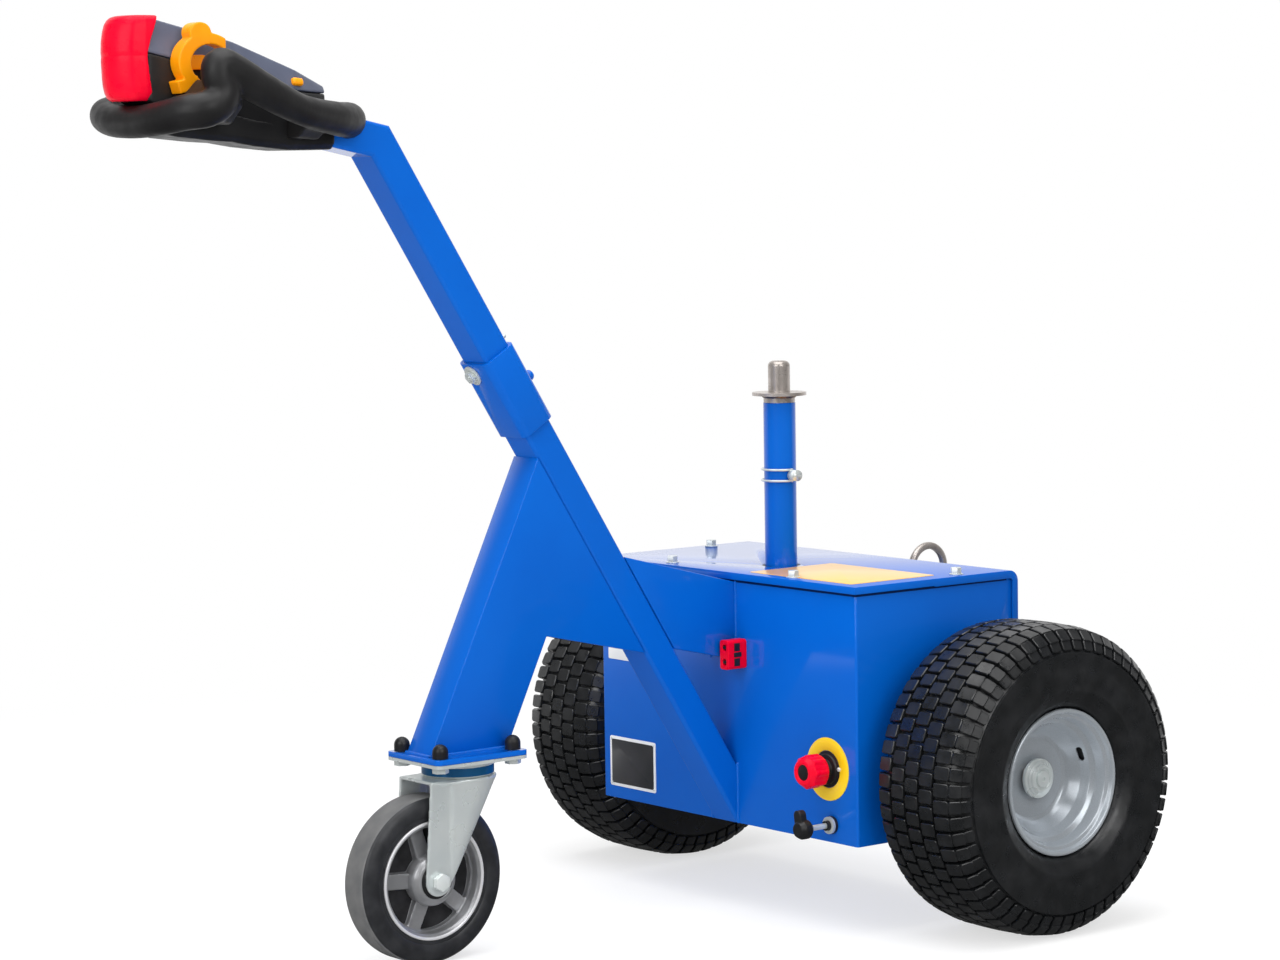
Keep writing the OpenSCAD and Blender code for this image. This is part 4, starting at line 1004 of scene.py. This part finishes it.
def grip_loop():
    """One moulded ring: from the tube's end out along both grips, down and across the front."""
    half = [(28, 36, 36, 21), (58, 72, 37.5, 19.5), (84, 134, 46.6, 17.5), (96, 184, 65, 19),
            (100, 228, 86, 20.5), (100, 247, 94, 20.5), (101, 250, 82, 20), (102, 246, 68, 19.5),
            (103, 252, 55, 20), (101, 268, 47, 20.5), (86, 284, 44, 20), (48, 295, 38, 19)]
    rear, front = (0, 32, 36.5, 21.5), (0, 297, 35.5, 18.5)
    other = [(-x, ahead, up, radius) for x, ahead, up, radius in reversed(half)]
    line = [(*on_handle(x, ahead, up), radius)
            for x, ahead, up, radius in eased([rear] + half + [front] + other)]
    bm = bmesh.new()
    closed_wire(bm, line)
    bmesh.ops.remove_doubles(bm, verts=bm.verts, dist=DOUBLES)
    for side, _ in SIDES:
        for web in (CHEEK, HEEL):
            loft(bm, [web_section(side, *station) for station in web])
    finished("grip_loop", moulding(bm, 2.0, 12), GRIP, "chassis", ("grips",), crease=60)


def lower_shell():
    """Moulded belly of the console between the grips, down to the tube."""
    stations = [(50, 20, 6, 24), (55, 28, 2.8, 26), (114, 33, 2.5, 30), (160, 35, 7, 36),
                (190, 36.5, 12, 42), (216, 38, 13.5, 46), (262, 40, 18, 52), (292, 34, 24, 50)]
    corner = 7
    rings = []
    for ahead, half, under, over in stations:
        section = [(-half, over), (half, over), (half, under + corner), (half - corner, under),
                   (corner - half, under), (-half, under + corner)]
        rings.append([on_handle(x, ahead, up) for x, up in section])
    bm = bmesh.new()
    loft(bm, rings)
    finished("console_belly", moulding(bm, 1.8, 5), BLACK, "chassis", crease=60)


def button_outline(half_wide, reach, back, steps=32):
    """The red button in plan: a round nose with soft corners and a straight back."""
    outline = []
    for n in range(steps + 1):
        turn = math.radians(-90 + 180 * n / steps)
        across = abs(math.sin(turn))
        x = half_wide * math.copysign(across ** 0.8, turn)
        curve = NOSE_ARC * (1 - math.cos(math.asin(min(1, abs(x) / NOSE_ARC))))
        corner = 6 * max(0, across - 0.86) / 0.14
        outline.append((x, max(reach - curve - corner, back + 1)))
    return outline + [(half_wide, back), (-half_wide, back)]


def belly_button():
    """Red safety button: round-nosed in plan, barrelled in height, with a crease across it."""
    low_z, high_z = low("belly_button").z / MM, high("belly_button").z / MM
    tall, middle_z = high_z - low_z, (low_z + high_z) / 2 + 2
    crease = middle_z - low_z
    levels = [(0, 9), (1.2, 6), (4, 3.2), (9, 1.2), (16, 0.2), (26, 0), (crease - 5, 0),
              (crease - 1.2, 0.4), (crease, 0.9), (crease + 1.2, 0.4), (crease + 5, 0), (66, 0),
              (76, 0.6), (84, 2), (89, 4.6), (92, 8), (tall - 0.3, 13)]
    rings = []
    for rise, inset in levels:
        off = (low_z + rise - middle_z) / BUTTON_RISE
        barrel, wrap = (5.0, 17) if off > 0 else (3.0, 6)
        outline = button_outline(BUTTON_HALF - inset * 0.6,
                                 BUTTON_NOSE - (inset + barrel * off * off),
                                 BUTTON_BACK - wrap * abs(off) ** 1.4)
        rings.append([(x * MM, HANDLE_Y - ahead * MM, (low_z + rise) * MM)
                      for x, ahead in outline])
    bm = bmesh.new()
    loft(bm, rings)
    finished("red_belly_button", moulding(bm, 1.1, 3), RED, "chassis",
             ("belly_button",), crease=60)


def thumb_levers():
    """Butterfly levers with lobes, wings and feet, one at each side of the console."""
    bm = moulding(merged_copy("thumb_levers"), 1.0, 8)
    spot = middle("thumb_levers")
    seat = Matrix.Translation(spot + Vector((0, 8.5, 6)) * MM)
    longer = Matrix.Diagonal((1, 1.15, 0.97, 1))
    bmesh.ops.transform(bm, matrix=seat @ longer @ Matrix.Translation(-spot), verts=bm.verts)
    finished("orange_thumb_levers", bm, ORANGE, "chassis", ("thumb_levers",), crease=60)


def horn_button():
    """Small orange button on the near slope of the cover."""
    cover = merged_copy("console_cover")
    skin = BVHTree.FromBMesh(cover)
    cover.free()
    beside, inward = on_handle(80, 106, 79), Vector((-1, 0, 0))
    spot, normal, _, _ = skin.ray_cast(beside, inward)
    bm = bmesh.new()
    block(bm, (9, 15, 9), aimed(spot, normal), 3, 3)
    finished("horn_key", bm, ORANGE, "chassis", ("horn_button",), crease=50)


# ---- The whole machine ----

def make_everything():
    """Every piece, from the wheels up to the handle and then the trim of the body."""
    finish_carried_nodes()
    for side, name in SIDES:
        for make in (drive_tyre, drive_rim, valve_slot_shade, hub_washer):
            make(side, name)
    for make in (castor_tread, castor_sidewalls, castor_bright_rings, castor_seals_and_gap_shade,
                 castor_hub_ring, castor_pocket_shade, swivel_band):
        make()
    softened("castor_wheel_casting", "castor_rim", 1.2, 4, ALLOY, "castor_wheel")
    softened("castor_fork_pressing", "castor_fork", 1.2, 9, ZINC, "castor")
    edged("castor_axle_bright", "castor_axle", 0.8, BRIGHT_ZINC, "castor")
    for make in (grip_loop, lower_shell, belly_button, thumb_levers, horn_button, post,
                 lock_pin, under_lip_shadow):
        make()
    softened("console_body", "console", 1.6, 4, BLACK, "chassis")
    softened("console_top", "console_cover", 1.4, 4, GREY, "chassis")
    softened("drive_release_knob", "release_knob", 0.7, 4, BLACK, "chassis")
    for node, width in (("housing", 0.8), ("lid", 0.6), ("arm_neck", 1.2), ("arm_gusset", 1.2),
                        ("foot_plate", 1.0), ("sleeve", 1.0)):
        edged(node + "_painted", node, width, BLUE, "chassis")
    for make in (lid_bolts, lid_panel, post_hole_shade, rating_plate, rating_plate_field,
                 rating_plate_rivets, blank_sticker, stop_ring, stop_barrel, stop_knob,
                 stop_knob_face, stop_screw, release_bush, connector_body, connector_contacts,
                 weld_seams, sleeve_cap, sleeve_stud, post_weld):
        make()


# ---- Floor, light and camera ----

BEHIND = (-0.789, 0.614, 0.0)
STUDIO_DIM, FLOOR_DIM, EVEN_LIGHT = 0.09, 0.09, 0.6
FLOOR_SIZE, FLOOR_PALE, FLOOR_SHADE, FLOOR_GLOW = 30, 0.8, 0.40, 0.64
# Each lamp: name, place, target, size and power.
LAMPS = (
    ("overhead", (0.3, -0.3, 3.4), (0, 0, 0.4), 3.2, 95),
    ("front", (1.2, -3.6, 2.0), (0, 0, 0.4), 2.4, 54),
    ("side", (3.8, -0.5, 2.3), (0.3, 0.2, 0.4), 2.2, 46),
)
# Place from the axle in millimetres, turns in degrees.
CAMERA_PLACE = (3453.1, -3002.6, 927.5)
CAMERA_YAW, CAMERA_PITCH, CAMERA_ROLL = 52.1, 4.9, -0.9
SENSOR, LENS = 36, 100.04


def feed(tree, socket, value):
    """Gives a socket a plain value or the output of another node."""
    if isinstance(value, (int, float)):
        socket.default_value = value
    else:
        tree.links.new(value, socket)


def maths(tree, operation, first, second):
    """A number worked out from two others."""
    node = tree.nodes.new("ShaderNodeMath")
    node.operation = operation
    feed(tree, node.inputs[0], first)
    feed(tree, node.inputs[1], second)
    return node.outputs[0]


def ray_kinds(tree):
    """1 for camera and transmission rays, and 1 for glossy rays."""
    path = tree.nodes.new("ShaderNodeLightPath")
    seen = path.outputs["Is Camera Ray"]
    direct = maths(tree, "MAXIMUM", seen, path.outputs["Is Transmission Ray"])
    return direct, path.outputs["Is Glossy Ray"]


def glow(tree, strength):
    """Plain white light of a strength."""
    node = tree.nodes.new("ShaderNodeEmission")
    feed(tree, node.inputs["Strength"], strength)
    return node.outputs[0]


def mixed(tree, factor, first, second):
    """Two surfaces mixed: the first at 0, the second at 1."""
    node = tree.nodes.new("ShaderNodeMixShader")
    tree.links.new(factor, node.inputs[0])
    tree.links.new(first, node.inputs[1])
    tree.links.new(second, node.inputs[2])
    return node.outputs[0]


def faded(tree, value, start, stop, dark=0.0):
    """A smooth rise from dark to 1 as a value goes from start to stop."""
    node = tree.nodes.new("ShaderNodeMapRange")
    node.interpolation_type = "SMOOTHSTEP"
    for socket, number in (("From Min", start), ("From Max", stop), ("To Min", dark)):
        node.inputs[socket].default_value = number
    tree.links.new(value, node.inputs["Value"])
    return node.outputs["Result"]


def matt(tree, value):
    """A matt grey surface."""
    node = tree.nodes.new("ShaderNodeBsdfDiffuse")
    node.inputs["Color"].default_value = (value, value, value, 1)
    return node.outputs[0]


def far_white(tree, direction, start, stop, dark):
    """Brightness of the studio in reflections: white behind the machine, dim before it."""
    node = tree.nodes.new("ShaderNodeVectorMath")
    node.operation = "DOT_PRODUCT"
    tree.links.new(direction, node.inputs[0])
    node.inputs[1].default_value = BEHIND
    return faded(tree, node.outputs["Value"], start, stop, dark)


def pale_floor():
    """Floor that keeps a soft shadow and fades into the white behind it."""
    material = bpy.data.materials.new("pale_floor")
    material.use_nodes = True
    tree = material.node_tree
    tree.nodes.clear()
    near = tree.nodes.new("ShaderNodeAddShader")
    tree.links.new(matt(tree, FLOOR_SHADE), near.inputs[0])
    tree.links.new(glow(tree, FLOOR_GLOW), near.inputs[1])
    place = tree.nodes.new("ShaderNodeTexCoord").outputs["Object"]
    reach = tree.nodes.new("ShaderNodeVectorMath")
    reach.operation = "LENGTH"
    tree.links.new(place, reach.inputs[0])
    fade = faded(tree, reach.outputs["Value"], 1.1, 2.2)
    seen = mixed(tree, fade, near.outputs[0], glow(tree, 1.0))
    mirrored = glow(tree, far_white(tree, place, 0.4, 2.0, FLOOR_DIM))
    direct, glossy = ray_kinds(tree)
    rest = mixed(tree, glossy, matt(tree, FLOOR_PALE), mirrored)
    out = tree.nodes.new("ShaderNodeOutputMaterial")
    tree.links.new(mixed(tree, direct, rest, seen), out.inputs["Surface"])
    return material


def lay_floor():
    """Plain square floor round the machine."""
    bm = bmesh.new()
    bmesh.ops.create_grid(bm, x_segments=2, y_segments=2, size=FLOOR_SIZE)
    mesh = bpy.data.meshes.new("floor")
    bm.to_mesh(mesh)
    bm.free()
    mesh.materials.append(pale_floor())
    floor = placed_object("floor", mesh)


def light_world():
    """White for the camera, a studio that is white behind for reflections, even light else."""
    world = bpy.data.worlds.new("studio")
    bpy.context.scene.world = world
    world.use_nodes = True
    tree = world.node_tree
    tree.nodes.clear()
    direct, glossy = ray_kinds(tree)
    direction = tree.nodes.new("ShaderNodeTexCoord").outputs["Generated"]
    mirror = far_white(tree, direction, 0.35, 0.85, STUDIO_DIM)
    even = maths(tree, "ADD", maths(tree, "MULTIPLY", glossy, mirror),
                 maths(tree, "MULTIPLY", maths(tree, "SUBTRACT", 1.0, glossy), EVEN_LIGHT))
    strength = maths(tree, "MAXIMUM", direct, even)
    node = tree.nodes.new("ShaderNodeBackground")
    node.inputs["Color"].default_value = (1, 1, 1, 1)
    tree.links.new(strength, node.inputs["Strength"])
    out = tree.nodes.new("ShaderNodeOutputWorld")
    tree.links.new(node.outputs[0], out.inputs["Surface"])


def area_light(name, place, target, size, power):
    """Square lamp that faces its target."""
    lamp = bpy.data.lights.new(name, "AREA")
    lamp.shape = "SQUARE"
    lamp.size = size
    lamp.energy = power
    holder = placed_object(name, lamp)
    holder.location = place
    holder.rotation_euler = (Vector(target) - Vector(place)).to_track_quat("-Z", "Y").to_euler()


def set_camera():
    """Long lens at handle height, ahead of the machine on its right."""
    yaw, pitch, roll = (math.radians(value) for value in (CAMERA_YAW, CAMERA_PITCH, CAMERA_ROLL))
    camera = bpy.data.cameras.new("camera")
    camera.sensor_width = SENSOR
    camera.lens = LENS
    camera.clip_end = 100
    holder = placed_object("camera", camera)
    turn = Euler((math.pi / 2 - pitch, 0, yaw)).to_matrix().to_4x4()
    holder.matrix_world = (Matrix.Translation(from_axle(*CAMERA_PLACE)) @ turn
                           @ Matrix.Rotation(roll, 4, "Z"))
    bpy.context.scene.camera = holder


make_everything()
lay_floor()
light_world()
for lamp in LAMPS:
    area_light(*lamp)
set_camera()
bpy.context.scene.view_settings.view_transform = "Standard"
